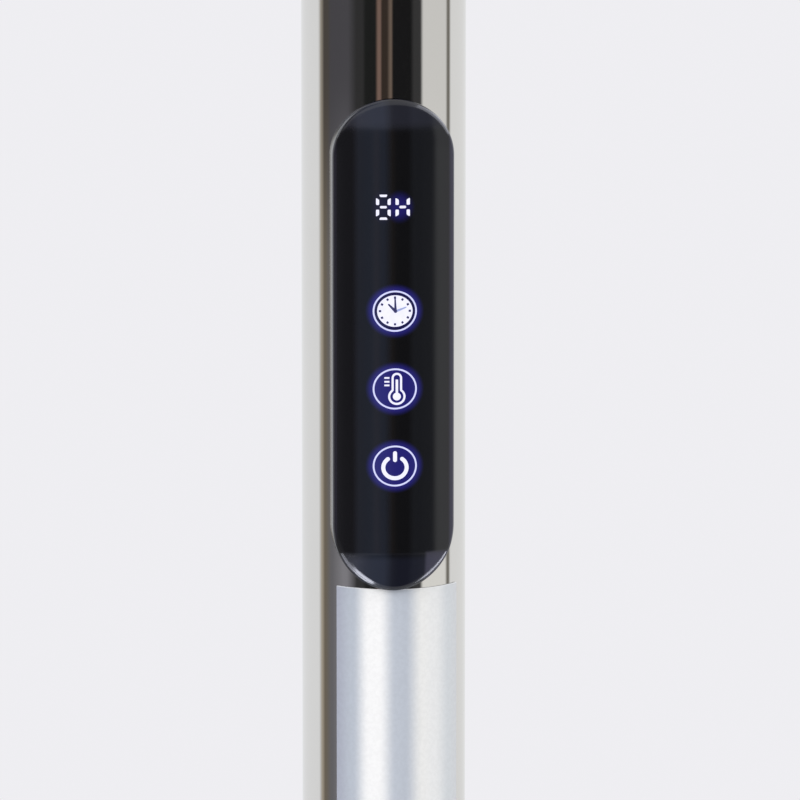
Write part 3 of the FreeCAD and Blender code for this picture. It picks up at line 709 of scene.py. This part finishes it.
def litFinish(name, colour):
    finish, shader, tree = newFinish(name, signs["glow"], signs["litRoughness"])
    uneven = mapped(tree, grain(tree, signs["unevenScale"], detail=2.0), *noiseSpan)
    dim = tuple(c * signs["dim"] for c in colour)
    feed(tree, shader, {"Emission Color": mixed(tree, uneven, dim, colour), "Emission Strength": 1.0})
    return finish


def panelTone(tree, x, z, past, forward):
    # painted reflection bands across the front, slopes lightened by painted reflection and painted sheen, and
    # painted light on the steep edges
    across = mapped(tree, x, -panelWidth / 2, panelWidth / 2, soft=False)
    tone = ramped(tree, across, [(0.5 + place * mm / panelWidth, colour) for place, colour in panel["hazeAndPaintedReflection"]])
    # painted reflection lightens the sloping ends
    for end, way in (("top", 1.0), ("bottom", -1.0)):
        fade = [slopeFrom(end) + depth for depth in panel["slopeFade"][end]]
        onSlope = mapped(tree, sums(tree, "MULTIPLY", z, way), *fade)
        tone = mixed(tree, onSlope, tone, panel["slopePaintedReflection"][end], "ADD")
    # painted sheen on parts of the lower slope
    for way, sides, depths, paintedSheen in panel["slopeSheens"]:
        aside = mapped(tree, sums(tree, "MULTIPLY", x, way), *sides)
        low = sums(tree, "MULTIPLY", aside, mapped(tree, past, *depths))
        tone = mixed(tree, low, tone, paintedSheen, "ADD")
    # painted light: a grey tone on the steep side edges
    edge = panel["paintedLitEdge"]
    steep = mapped(tree, forward, *edge["lean"], 1.0, 0.0)
    steep = sums(tree, "MULTIPLY", steep, mapped(tree, sums(tree, "ABSOLUTE", x), *edge["across"]))
    steep = sums(tree, "MULTIPLY", steep, mapped(tree, z, *edge["above"]))
    return mixed(tree, steep, tone, edge["tone"])


def panelShine(tree, z, past, forward):
    end = panel["mattEnd"]
    matt = mapped(tree, forward, *end["steep"], 1.0, 0.0)
    matt = sums(tree, "MULTIPLY", matt, mapped(tree, z, end["to"], end["from"], 1.0, 0.0))
    flat = sums(tree, "MULTIPLY", mapped(tree, forward, *end["flat"]), mapped(tree, past, *end["past"]))
    return mapped(tree, sums(tree, "MAXIMUM", matt, flat), 0.0, 1.0, *end["specular"], soft=False)


def awayFrom(tree, x, z, middle, half):
    # distance from a middle, which is 1 on the oval with these half widths
    squares = []
    for place, centre, reach in zip((x, z), middle, half):
        off = sums(tree, "DIVIDE", sums(tree, "SUBTRACT", place, centre), reach)
        squares.append(sums(tree, "POWER", off, 2.0))
    return sums(tree, "SQRT", sums(tree, "ADD", *squares))


def signGlow(tree, x, z):
    # light that spreads under the front round each sign
    lit = 0.0
    oval = signs["ringWidth"] / 2, signs["ringHeight"] / 2
    for sign, level in signs["levels"].items():
        far = awayFrom(tree, x, z, (signs["middleX"], level), oval)
        halo = mapped(tree, far, signs["glowFrom"], signs["glowTo"], 1.0, 0.0)
        if sign == "clock":
            halo = sums(tree, "MULTIPLY", halo, mapped(tree, far, *signs["faceRim"], signs["faceGlow"], 1.0))
        lit = sums(tree, "MAXIMUM", lit, halo)
    for middle, half, strength in readoutGlow:
        far = awayFrom(tree, x, z, middle, half)
        lit = sums(tree, "MAXIMUM", lit, mapped(tree, far, *signs["readoutFade"], strength, 0.0))
    return lit


def panelFinish():
    finish, shader, tree = newFinish("panel_gloss", panel["colour"], panel["roughness"][0])
    placeX, _, placeZ = axesOf(tree, placeIn(tree))
    x = sums(tree, "SUBTRACT", placeX, panelX)
    z = sums(tree, "SUBTRACT", placeZ, panelZ)
    past = sums(tree, "SUBTRACT", sums(tree, "MULTIPLY", z, -1.0), slopeFrom("bottom"))
    _, facingY, _ = axesOf(tree, addNode(tree, "ShaderNodeNewGeometry").outputs["Normal"])
    forward = sums(tree, "ABSOLUTE", facingY)
    smear = grain(tree, panel["smearScale"], detail=4.0)
    feed(tree, shader, {
        "Base Color": panelTone(tree, x, z, past, forward),
        "Roughness": mapped(tree, smear, *panel["smear"], *panel["roughness"]),
        "IOR": panel["ior"],
        "Specular IOR Level": panelShine(tree, z, past, forward),
        "Emission Color": (*signs["glow"], 1),
        "Emission Strength": signGlow(tree, x, z),
    })
    return finish


# seven-segment figures: each bar of a figure by its corners, in mm from the readout's middle

figures = {
    "cornerRound": 0.2,
    "cornerShare": 0.45,  # of a side, the most that a rounded corner takes
    "cornerSteps": (0.0, 0.33, 0.67, 1.0),
    "slant": 0.35,
    "barSlant": 0.35,  # in heights of the bar
    "eight": {
        "left": -2.97,
        "right": -0.77,
        "line": 0.6,
        "bars": ((2.18, 1.55, 0.46), (0, 1.4, 0.46), (-2.2, 1.6, 0.46)),  # level, width and height
    },
    "letter": {"left": 0.77, "right": 2.92, "line": 0.64, "bars": ((0, 1.4, 0.5),)},
    "upper": (0.42, 1.42),
    "lower": (-1.47, -0.48),
}
readoutX, readoutZ = signs["readout"]
readoutGlow = (  # middle, half widths and strength of the glow round each figure
    ((readoutX + 1.2 * mm, readoutZ), (2.7 * mm, 2.9 * mm), 0.75),
    ((readoutX - 1.87 * mm, readoutZ), (2.2 * mm, 3.2 * mm), 0.12),
)


def roundedCorners(corners, radius):
    made = []
    count = len(corners)
    for k in range(count):
        here = Vector(corners[k])
        ways = [(Vector(corners[(k + turn) % count]) - here) for turn in (-1, 1)]
        reach = min(radius, *(way.length * figures["cornerShare"] for way in ways))
        first, last = (here + way.normalized() * reach for way in ways)
        for share in figures["cornerSteps"]:
            made.append(first.lerp(here, share).lerp(here.lerp(last, share), share))
    return made


def readoutFigures():
    shape = [], []

    def lay(corners):
        smooth = roundedCorners(corners, figures["cornerRound"])
        prism([(readoutX + p.x * mm, readoutZ + p.y * mm) for p in smooth], shape)

    for figure in (figures["eight"], figures["letter"]):
        half = figure["line"] / 2
        for middle, outer in ((figure["left"], -1), (figure["right"], 1)):
            for low, high in (figures["lower"], figures["upper"]):
                upper = low > 0
                outTop = figures["slant"] if upper else 0.0
                outLow = 0.0 if upper else figures["slant"]
                edge, inner = middle + outer * half, middle - outer * half
                lay([(inner, low), (edge, low - outLow), (edge, high + outTop), (inner, high)])
        middleX = (figure["left"] + figure["right"]) / 2
        for level, width, height in figure["bars"]:
            rise, wide = height / 2, width / 2
            narrow = wide - height * figures["barSlant"]
            top = wide if level > 0 else narrow
            foot = wide if level < 0 else narrow
            corners = [(-foot, -rise), (foot, -rise), (top, rise), (-top, rise)]
            if level == 0:
                corners = [(-wide, 0), (-top, rise), (top, rise), (wide, 0), (foot, -rise), (-foot, -rise)]
            lay([(middleX + x, level + z) for x, z in corners])
    return shape


def signRing(level):
    shape = [], []
    squash = signs["ringHeight"] / signs["ringWidth"]
    path = arc((signs["middleX"], level), signs["ringWidth"] / 2, 0, 360, signs["ringSteps"], squash)[:-1]
    stroke(path, signs["ringLine"], shape, closed=True)
    return shape


clock = {
    "face": 3.42 * mm,
    "faceRise": 0.03 * mm,
    "squash": 0.89,
    "ticks": 12,
    "tickAt": 2.87 * mm,
    "tick": (0.46 * mm, 0.42 * mm),
    "hub": (0.1 * mm, -0.05 * mm),
    "hubRadius": 0.33 * mm,
    "hands": (((0.0, 2.85), 0.5), ((-1.3, 1.35), 0.6)),  # tips in mm, width at the hub
    "thirdHand": ((2.2, 0.72), 0.5),
    "handSteps": 6,
    "taper": 0.5,  # share of its width that a hand loses
    "inkLift": 1.6,  # how high the hands lie, in lifts of the signs
    "paleLift": 1.3,
}


def clockHand(hub, middle, hand, shape, lift):
    (tipX, tipZ), width = hand
    tip = (middle[0] + tipX * mm, middle[1] + tipZ * mm)
    shares = span(0, 1, clock["handSteps"])
    path = [(hub[0] + (tip[0] - hub[0]) * t, hub[1] + (tip[1] - hub[1]) * t) for t in shares]
    stroke(path, [width * mm * (1 - clock["taper"] * t) for t in shares], shape, lift)


def clockSign():
    face, ink, pale = ([], []), ([], []), ([], [])
    middle = (signs["middleX"], signs["levels"]["clock"] + clock["faceRise"])
    disc(middle, clock["face"], face, squash=clock["squash"])
    high = signs["lift"] * clock["inkLift"]
    length, width = clock["tick"]
    for k in range(clock["ticks"]):
        angle = math.radians(360 / clock["ticks"] * k)
        ends = []
        for reach in (clock["tickAt"] - length / 2, clock["tickAt"] + length / 2):
            along, up = reach * math.cos(angle), reach * clock["squash"] * math.sin(angle)
            ends.append((middle[0] + along, middle[1] + up))
        stroke(ends, width, ink, high)
    hub = (middle[0] + clock["hub"][0], middle[1] + clock["hub"][1])
    clockHand(hub, middle, clock["thirdHand"], pale, signs["lift"] * clock["paleLift"])
    for hand in clock["hands"]:
        clockHand(hub, middle, hand, ink, high)
    disc(hub, clock["hubRadius"], ink, high, rings=2, steps=20)
    return face, ink, pale


thermometer = {
    "middle": 0.356 * mm,  # tube's axis right of the ring's centre
    "line": 0.4 * mm,
    "tubeHalf": 0.815 * mm,
    "top": 2.92 * mm,
    "bulbLevel": -1.48 * mm,
    "bulbRadius": 1.48 * mm,
    "squash": 0.96,
    "fluid": 0.48 * mm,
    "fluidTop": 1.81 * mm,
    "drop": 0.78 * mm,
    "dashes": (2.14 * mm, 1.4 * mm, 0.7 * mm),
    "dashSides": (-2.05 * mm, -1.08 * mm),
    "dashLine": 0.33 * mm,
}


def thermometerSign():
    shape = [], []
    level, middleX = signs["levels"]["thermometer"], signs["middleX"]
    axis, squash = middleX + thermometer["middle"], thermometer["squash"]
    bulb = (axis, level + thermometer["bulbLevel"])
    half, radius = thermometer["tubeHalf"], thermometer["bulbRadius"]
    neck = math.degrees(math.asin(half / radius))
    path = arc((axis, level + thermometer["top"] - half), half, 0, 180, steps=20)
    path += arc(bulb, radius, 90 + neck, 450 - neck, steps=56, squash=squash)
    stroke(path, thermometer["line"], shape, closed=True)
    stem = [(axis, z) for z in span(bulb[1], level + thermometer["fluidTop"], steps=6)]
    stroke(stem, thermometer["fluid"], shape)
    disc(bulb, thermometer["drop"], shape, squash=squash, rings=4, steps=36)
    for dash in thermometer["dashes"]:
        path = [(middleX + side, level + dash) for side in thermometer["dashSides"]]
        stroke(path, thermometer["dashLine"], shape)
    return shape


power = {
    "drop": 0.29 * mm,  # its round's centre under the ring's centre
    "radius": 2.26 * mm,
    "line": 0.77 * mm,
    "gap": 37,  # degrees on each side of the top
    "squash": 0.92,
    "bar": (0.78 * mm, 2.88 * mm),  # foot and top
}


def roundEnded(path, width, shape):
    stroke(path, width, shape)
    for end in (path[0], path[-1]):
        disc(end, width / 2, shape, rings=2, steps=24)


def powerSign():
    shape = [], []
    level, middleX, line = signs["levels"]["power"], signs["middleX"], power["line"]
    ends = 90 + power["gap"], 450 - power["gap"]
    path = arc((middleX, level - power["drop"]), power["radius"], *ends, steps=56, squash=power["squash"])
    roundEnded(path, line, shape)
    foot, top = power["bar"]
    levels = span(foot + line / 2, top - line / 2, steps=4)
    roundEnded([(middleX, level + z) for z in levels], line, shape)
    return shape


panelGloss = panelFinish()
litWhite = litFinish("lit_white", signs["white"])
litRing = litFinish("lit_ring", signs["ringWhite"])
signInk = moulded("sign_ink", signs["ink"], signs["inkRoughness"])
signPaleInk = moulded("sign_pale_ink", signs["paleInk"], signs["inkRoughness"])

cover = addPiece("panel_shell", *panelShell(), panelGloss, "panel_black")
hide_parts("panel_cover")

faceShape, inkShape, paleShape = clockSign()
signPieces = (
    ("readout_figures", readoutFigures(), litWhite, "lamp_resin"),
    ("sign_clock", faceShape, litWhite, "lamp_resin"),
    ("sign_clock_hands", inkShape, signInk, "panel_black"),
    ("sign_clock_third_hand", paleShape, signPaleInk, "lamp_resin"),
    *((f"sign_{sign}_ring", signRing(at), litRing, "lamp_resin") for sign, at in signs["levels"].items()),
    ("sign_thermometer", thermometerSign(), litWhite, "lamp_resin"),
    ("sign_power", powerSign(), litWhite, "lamp_resin"),
)
for name, shape, finish, slot in signPieces:
    addPiece(name, *shape, finish, slot)
print("panel and signs made")


# finishes of the CAD pieces: colour and roughness, then how mottled and how metallic

plainFinishes = {
    "gasket_rubber": ((0.012, 0.012, 0.013), 0.7),
    "housing_plastic": ((0.03, 0.03, 0.032), 0.5),
    "board_laminate": ((0.02, 0.12, 0.05), 0.45),
    "shroud_white": ((0.8, 0.8, 0.78), 0.5, 0.03),
    "display_glass": ((0.02, 0.02, 0.024), 0.15),
    "spring_steel": ((0.55, 0.55, 0.54), 0.3, 0.05, 1.0),
    "lamp_resin": ((0.8, 0.8, 0.75), 0.25, 0.03),
    "relay_case": ((0.03, 0.07, 0.3), 0.4),
    "capacitor_can": ((0.02, 0.02, 0.05), 0.35),
    "chip_black": ((0.018, 0.018, 0.018), 0.55),
    "terminal_plastic": ((0.05, 0.3, 0.08), 0.5),
    "clip_steel": ((0.5, 0.5, 0.49), 0.35, 0.05, 1.0),
    "sensor_resin": ((0.02, 0.02, 0.02), 0.3),
    "fuse_case": ((0.7, 0.68, 0.6), 0.4),
    "cable_silicone": ((0.5, 0.09, 0.05), 0.55),
    "seal_silicone": ((0.6, 0.6, 0.58), 0.55),
    "gland_nylon": ((0.03, 0.03, 0.032), 0.45),
    "base_zinc": ((0.52, 0.53, 0.55), 0.38, 0.06, 1.0),
    "screw_black": ((0.02, 0.02, 0.02), 0.4, 0.12, 0.6),
}
finishes = {name: moulded(name, *look) for name, look in plainFinishes.items()}

foil = {
    "radius": 16.2 * mm,
    "thickness": 0.15 * mm,
    "arc": 26.9 * mm,
    "turn": 6.65,  # degrees round the tube from the front
    "skew": 0.43,  # degrees, a hand-laid sheet is never quite level
    "rise": 0.34 * mm,
    "bow": 0.25 * mm,  # what its corners stand higher than its middle
    "cornerRound": 0.25 * mm,
    "aroundSteps": 60,
    "cornerSteps": 6,
    "paintedSheen": (  # painted sheen: upright bands of reflected light painted into the foil's colour: share of the way round from its middle, and colour
        (-1.0, (0.44, 0.465, 0.555)),
        (-0.74, (0.53, 0.575, 0.65)),
        (-0.49, (1.0, 1.0, 1.0)),
        (-0.36, (1.0, 1.0, 1.0)),
        (-0.1, (0.55, 0.59, 0.66)),
        (0.03, (0.535, 0.575, 0.645)),
        (0.3, (0.86, 0.86, 0.845)),
        (0.5, (0.825, 0.83, 0.83)),
        (0.8, (0.68, 0.71, 0.735)),
        (1.0, (0.665, 0.68, 0.705)),
    ),
    "metallic": 0.08,
    "roughness": (0.34, 0.4),
    "cloudScale": 80,
    "grainScale": 1400,
    "grainSpan": (0.35, 0.65),
    "grainTone": 0.96,
    "grainDepth": 0.002 * mm,
    "grainStrength": 0.3,
    "glint": (0.132 * mm, 0.22 * mm),  # painted glint on the cut edge: where it begins to fade, and its width
    "glintShare": 0.4,
}


def foilFinish():
    _, firstTone = foil["paintedSheen"][0]
    finish, shader, tree = newFinish("foil_silver", firstTone, foil["roughness"][0], foil["metallic"])
    placeX, placeY, placeZ = axesOf(tree, placeIn(tree))
    side = sums(tree, "SUBTRACT", placeX, tubeX)
    front = sums(tree, "SUBTRACT", tubeY, placeY)
    turned = sums(tree, "SUBTRACT", sums(tree, "ARCTAN2", side, front), math.radians(foil["turn"]))
    reach = foil["arc"] / 2 / foil["radius"]
    share = mapped(tree, turned, -reach, reach, soft=False)
    # painted sheen: bands of reflection in the foil's base colour
    paintedSheen = ramped(tree, share, [(0.5 + spot / 2, colour) for spot, colour in foil["paintedSheen"]], "EASE")
    speck = grain(tree, foil["grainScale"])
    dull = mixed(tree, 1.0, paintedSheen, (foil["grainTone"],) * 3, "MULTIPLY")
    paintedSheen = mixed(tree, mapped(tree, speck, *foil["grainSpan"]), dull, paintedSheen)
    # a painted glint: the base colour turns toward white along the head's cut edge
    lean = sums(tree, "MULTIPLY", turned, -foil["radius"] * math.tan(math.radians(foil["skew"])))
    bow = sums(tree, "MULTIPLY", sums(tree, "POWER", sums(tree, "DIVIDE", turned, reach), 2.0), foil["bow"])
    head = sums(tree, "ADD", sums(tree, "ADD", lean, bow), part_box("foil_patch")[1].z + foil["rise"])
    depth = sums(tree, "SUBTRACT", head, placeZ)
    glint = mapped(tree, depth, *foil["glint"], foil["glintShare"], 0.0)
    cloud = grain(tree, foil["cloudScale"], detail=4.0)
    feed(tree, shader, {
        "Base Color": mixed(tree, glint, paintedSheen, (1.0, 1.0, 1.0)),
        "Roughness": mapped(tree, cloud, *noiseSpan, *foil["roughness"]),
        "Normal": raised(tree, speck, foil["grainDepth"], foil["grainStrength"]),
    })
    return finish


def foilSheet():
    # columns round the tube, each from the foot to the head of the sheet, with rounded corners
    low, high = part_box("foil_patch")
    half = foil["arc"] / 2
    corner = foil["cornerRound"]
    places = [-half + corner * (1 - math.cos(math.pi / 2 * s)) for s in span(0, 1, foil["cornerSteps"])]
    places += span(-half + corner, half - corner, foil["aroundSteps"])[1:-1]
    places += [-p for p in reversed(places[: foil["cornerSteps"] + 1])]
    points = []
    for layer in (foil["radius"], foil["radius"] - foil["thickness"]):
        for place in places:
            inside = max(0.0, abs(place) - (half - corner))
            trim = corner - math.sqrt(max(0.0, corner ** 2 - inside ** 2))
            lean = foil["bow"] * (place / half) ** 2 - place * math.tan(math.radians(foil["skew"]))
            angle = math.radians(foil["turn"]) + place / foil["radius"]
            for z in (low.z + trim, high.z - trim):
                x, y = tubeX + layer * math.sin(angle), tubeY - layer * math.cos(angle)
                points.append((x, y, z + lean + foil["rise"]))
    count = len(places)
    faces = gridFaces(count, 2) + gridFaces(count, 2, start=2 * count)
    for k in range(count - 1):
        for edge in (0, 1):
            faces.append([2 * k + edge, 2 * k + 2 + edge, 2 * (count + k + 1) + edge, 2 * (count + k) + edge])
    for k in (0, count - 1):
        faces.append([2 * k, 2 * k + 1, 2 * (count + k) + 1, 2 * (count + k)])
    return points, faces


finishes["foil_silver"] = foilFinish()
slotOf = {entry["node"]: entry["material_slot"] for entry in frame["record"]["subparts"]}


def finishFor(node):
    if node.startswith(("upright", "cap")):
        return steelUpright
    if node.startswith("bar"):
        return steelBar
    if node.startswith(("stem", "rosette")):
        return steelBracket
    if node == "panel_cover":
        return panelGloss
    return finishes[slotOf[node]]


sheet = addPiece("foil_sheet", *foilSheet(), finishes["foil_silver"], "foil_silver")
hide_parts("foil_patch")
ring = addPiece("gasket_ring", *gasketRing(), finishes["gasket_rubber"], "gasket_rubber")
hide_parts("panel_gasket")

for name, node in nodes.items():
    node.data.materials.clear()
    node.data.materials.append(finishFor(name))
print("finishes set")


# camera at the photograph's viewing angle

camera = {
    "azimuth": -6.8,
    "elevation": 8.0,
    "distance": 1.3,
    "lens": 300,
    "sensor": 36,
    "clip": 60,
    "aimX": 3.22 * mm,
    "aimZ": -13 * mm,
}


def placeCamera():
    aim = Vector((tubeX + camera["aimX"], tubeY, panelZ + camera["aimZ"]))
    turn, tilt = math.radians(camera["azimuth"]), math.radians(camera["elevation"])
    way = Vector((math.sin(turn) * math.cos(tilt), -math.cos(turn) * math.cos(tilt), math.sin(tilt)))
    data = bpy.data.cameras.new("photo_view")
    data.lens = camera["lens"]
    data.sensor_width = camera["sensor"]
    data.clip_end = camera["clip"]
    seen = inScene("photo_view", data)
    seen.location = aim + way * camera["distance"]
    seen.rotation_euler = (-way).to_track_quat("-Z", "Y").to_euler()
    scene.camera = seen


placeCamera()


# room: what the polished steel mirrors, by compass angle from the front (degrees, + is to the right)

room = {
    "backdrop": (0.86, 0.855, 0.885),
    "soft": (0.85, 0.85, 0.86),
    "level": (  # first and last angle of each strip, and its colour
        (-180, -110.5, (0.87, 0.885, 0.915)),  # pale back
        (-104.5, -103.5, (0.34, 0.31, 0.265)),  # its edge
        (-98.5, -91, (0.085, 0.075, 0.068)),
        (-86, -57, (0.078, 0.076, 0.088)),  # dim side
        (-45, -36, (0.036, 0.036, 0.038)),
        (-31.5, -17.5, (0.015, 0.016, 0.016)),
        (-14.3, -11, (0.22, 0.145, 0.12)),  # warm strip
        (-9, -1.5, (0.042, 0.031, 0.025)),
        (2.6, 4, (0.185, 0.14, 0.113)),  # narrow warm strip
        (6.4, 31.5, (0.011, 0.011, 0.012)),
        (36.5, 46.3, (0.045, 0.045, 0.047)),
        (50.8, 90.5, (0.755, 0.755, 0.75)),  # pale side
        (94.5, 98, (0.2, 0.19, 0.17)),
        (102, 180, (0.86, 0.87, 0.885)),  # pale back
    ),
    "lift": (  # what the pale floor adds lower down
        (-180, -108, (0.0, 0.0, 0.0)),
        (-104, -96, (0.1, 0.085, 0.06)),
        (-90, -84, (0.085, 0.085, 0.09)),
        (-66, -60, (0.18, 0.18, 0.2)),
        (-45, 45, (0.006, 0.006, 0.007)),
        (50, 88, (0.1, 0.1, 0.09)),
        (95, 180, (0.0, 0.0, 0.0)),
    ),
    "above": (
        (-180, -120, (0.85, 0.85, 0.88)),
        (-100, -66, (0.7, 0.7, 0.73)),
        (-54, 2, (0.38, 0.39, 0.48)),
        (6, 54, (0.15, 0.15, 0.2)),
        (66, 100, (0.7, 0.7, 0.73)),
        (120, 180, (0.85, 0.85, 0.88)),
    ),
    "ceiling": ((-180, 180, (0.95, 0.95, 0.97)),),
    "below": (
        (-180, -120, (0.6, 0.6, 0.62)),
        (-100, -60, (0.45, 0.45, 0.48)),
        (-46, -10, (0.38, 0.4, 0.5)),
        (-4, 30, (0.14, 0.14, 0.2)),
        (45, 60, (0.45, 0.45, 0.48)),
        (100, 180, (0.6, 0.6, 0.62)),
    ),
    "floor": ((-180, 180, (0.7, 0.7, 0.72)),),
    "heights": {  # angle where each zone begins to show, and where it shows whole
        "lift": (-5.2, -7),
        "above": (21, 29),
        "ceiling": (36, 50),
        "below": (-14, -36),
        "floor": (-52, -66),
    },
    "unmirrored": ("upright_left", "bar_02", "heating_cable", "lower_left"),  # words in pieces' names
}


def strips(tree, turn, zones):
    stops = [((angle + 180) / 360, colour) for first, last, colour in zones for angle in (first, last)]
    return ramped(tree, turn, stops)


def makeRoom():
    world = bpy.data.worlds.new("studio")
    scene.world = world
    world.use_nodes = True
    tree = world.node_tree
    right, back, up = axesOf(tree, placeIn(tree, "Generated"))
    compass = sums(tree, "ARCTAN2", right, sums(tree, "MULTIPLY", back, -1.0))
    turn = mapped(tree, compass, -math.pi, math.pi, soft=False)
    tilt = sums(tree, "ARCSINE", up)
    mirrored = strips(tree, turn, room["level"])
    for zone, (begins, whole) in room["heights"].items():
        rising = whole > begins
        edges = (begins, whole) if rising else (whole, begins)
        share = mapped(tree, tilt, *(math.radians(a) for a in edges), *((0.0, 1.0) if rising else (1.0, 0.0)))
        way = "ADD" if zone == "lift" else "MIX"
        mirrored = mixed(tree, share, mirrored, strips(tree, turn, room[zone]), way)
    ray = addNode(tree, "ShaderNodeLightPath")
    shown = mixed(tree, ray.outputs["Is Glossy Ray"], room["soft"], mirrored)
    shown = mixed(tree, ray.outputs["Is Transmission Ray"], shown, room["backdrop"])
    shown = mixed(tree, ray.outputs["Is Camera Ray"], shown, room["backdrop"])
    feed(tree, tree.nodes["Background"], {"Color": shown})


def hideFromPolish():
    # far pieces that would draw hard lines in the right upright's polish
    for piece in bpy.data.objects:
        if any(word in piece.name for word in room["unmirrored"]):
            piece.visible_glossy = False


makeRoom()
hideFromPolish()

floor = {
    "drop": 30 * mm,  # how far it lies under the lowest piece
    "radius": 1.0,
    "fade": (0.45, 0.97),  # from the middle, where it begins to fade and where it is gone
    "steps": 96,
    "colour": (0.79, 0.79, 0.8),
    "roughness": 0.85,
}


def layFloor():
    count = floor["steps"]
    rim = [(floor["radius"] * math.cos(a), floor["radius"] * math.sin(a), 0.0) for a in fullTurn(count)]
    mesh = bpy.data.meshes.new("floor")
    mesh.from_pydata([(0.0, 0.0, 0.0), *rim], [], [[0, k, k % count + 1] for k in range(1, count + 1)])
    made = inScene("floor", mesh)
    made.location = (0.0, tubeY, cadBox[0][2] - floor["drop"])
    finish, shader, tree = newFinish("floor_pale", floor["colour"], floor["roughness"])
    far = addNode(tree, "ShaderNodeVectorMath", {0: placeIn(tree)}, operation="LENGTH").outputs["Value"]
    feed(tree, shader, {"Alpha": mapped(tree, far, *floor["fade"], 1.0, 0.0)})
    mesh.materials.append(finish)
    made.visible_glossy = False


layFloor()

lamps = (  # name, place, side and watts
    ("key", (-1.3, -2.1, 1.5), 1.3, 25),
    ("fill", (1.8, -1.2, 1.2), 1.0, 7),
    ("rim", (0.6, 1.9, 1.6), 1.0, 9),
)
for name, spot, size, watts in lamps:
    data = bpy.data.lights.new(name, "AREA")
    data.size = size
    data.energy = watts
    lamp = inScene(name, data)
    lamp.location = spot
    lamp.rotation_euler = (Vector((0, tubeY, 0)) - Vector(spot)).to_track_quat("-Z", "Y").to_euler()
    lamp.visible_glossy = False

# strip lights for the panel's rim alone, because polished steel would burn out in them
rimLights = {
    "reach": 180 * mm,  # how far they lie above or below the panel's ends
    "frontY": -18 * mm,  # the rim's place before the tube's axis
    "colour": (0.86, 0.88, 1.0),
    "lamps": (  # name, middle to the right and to the back, sides (mm), turn (degrees), which end, brightness
        ("rim_upper_left", (-420, 200), (560, 400), 0, 1, 1.2),
        ("rim_upper_right", (462, 250), (675, 700), 0, 1, 2.5),
        ("rim_lower_left", (-197, 48), (114, 190), 0, -1, 4.8),
        ("rim_lower_middle", (-101, -20), (78, 196), 0, -1, 15.0),
        ("rim_lower_right", (217, 30), (210, 84), 38, -1, 7.5),
    ),
}


def hangRimLights():
    lit = bpy.data.collections.new("panel_alone")
    lit.objects.link(cover)
    for name, middle, sides, turn, end, bright in rimLights["lamps"]:
        data = bpy.data.lights.new(name, "AREA")
        data.shape = "RECTANGLE"
        data.size, data.size_y = sides[0] * mm, sides[1] * mm
        data.energy = bright * math.pi * data.size * data.size_y
        data.color = rimLights["colour"]
        lamp = inScene(name, data)
        level = panelZ + end * (panelLength / 2 + rimLights["reach"])
        lamp.location = (panelX + middle[0] * mm, tubeY + rimLights["frontY"] + middle[1] * mm, level)
        lamp.rotation_euler = (0 if end > 0 else math.pi, 0, math.radians(turn))
        lamp.visible_camera = False
        lamp.visible_diffuse = False
        lamp.light_linking.receiver_collection = lit


hangRimLights()
scene.view_settings.view_transform = "Standard"
print("camera, room and lamps set")
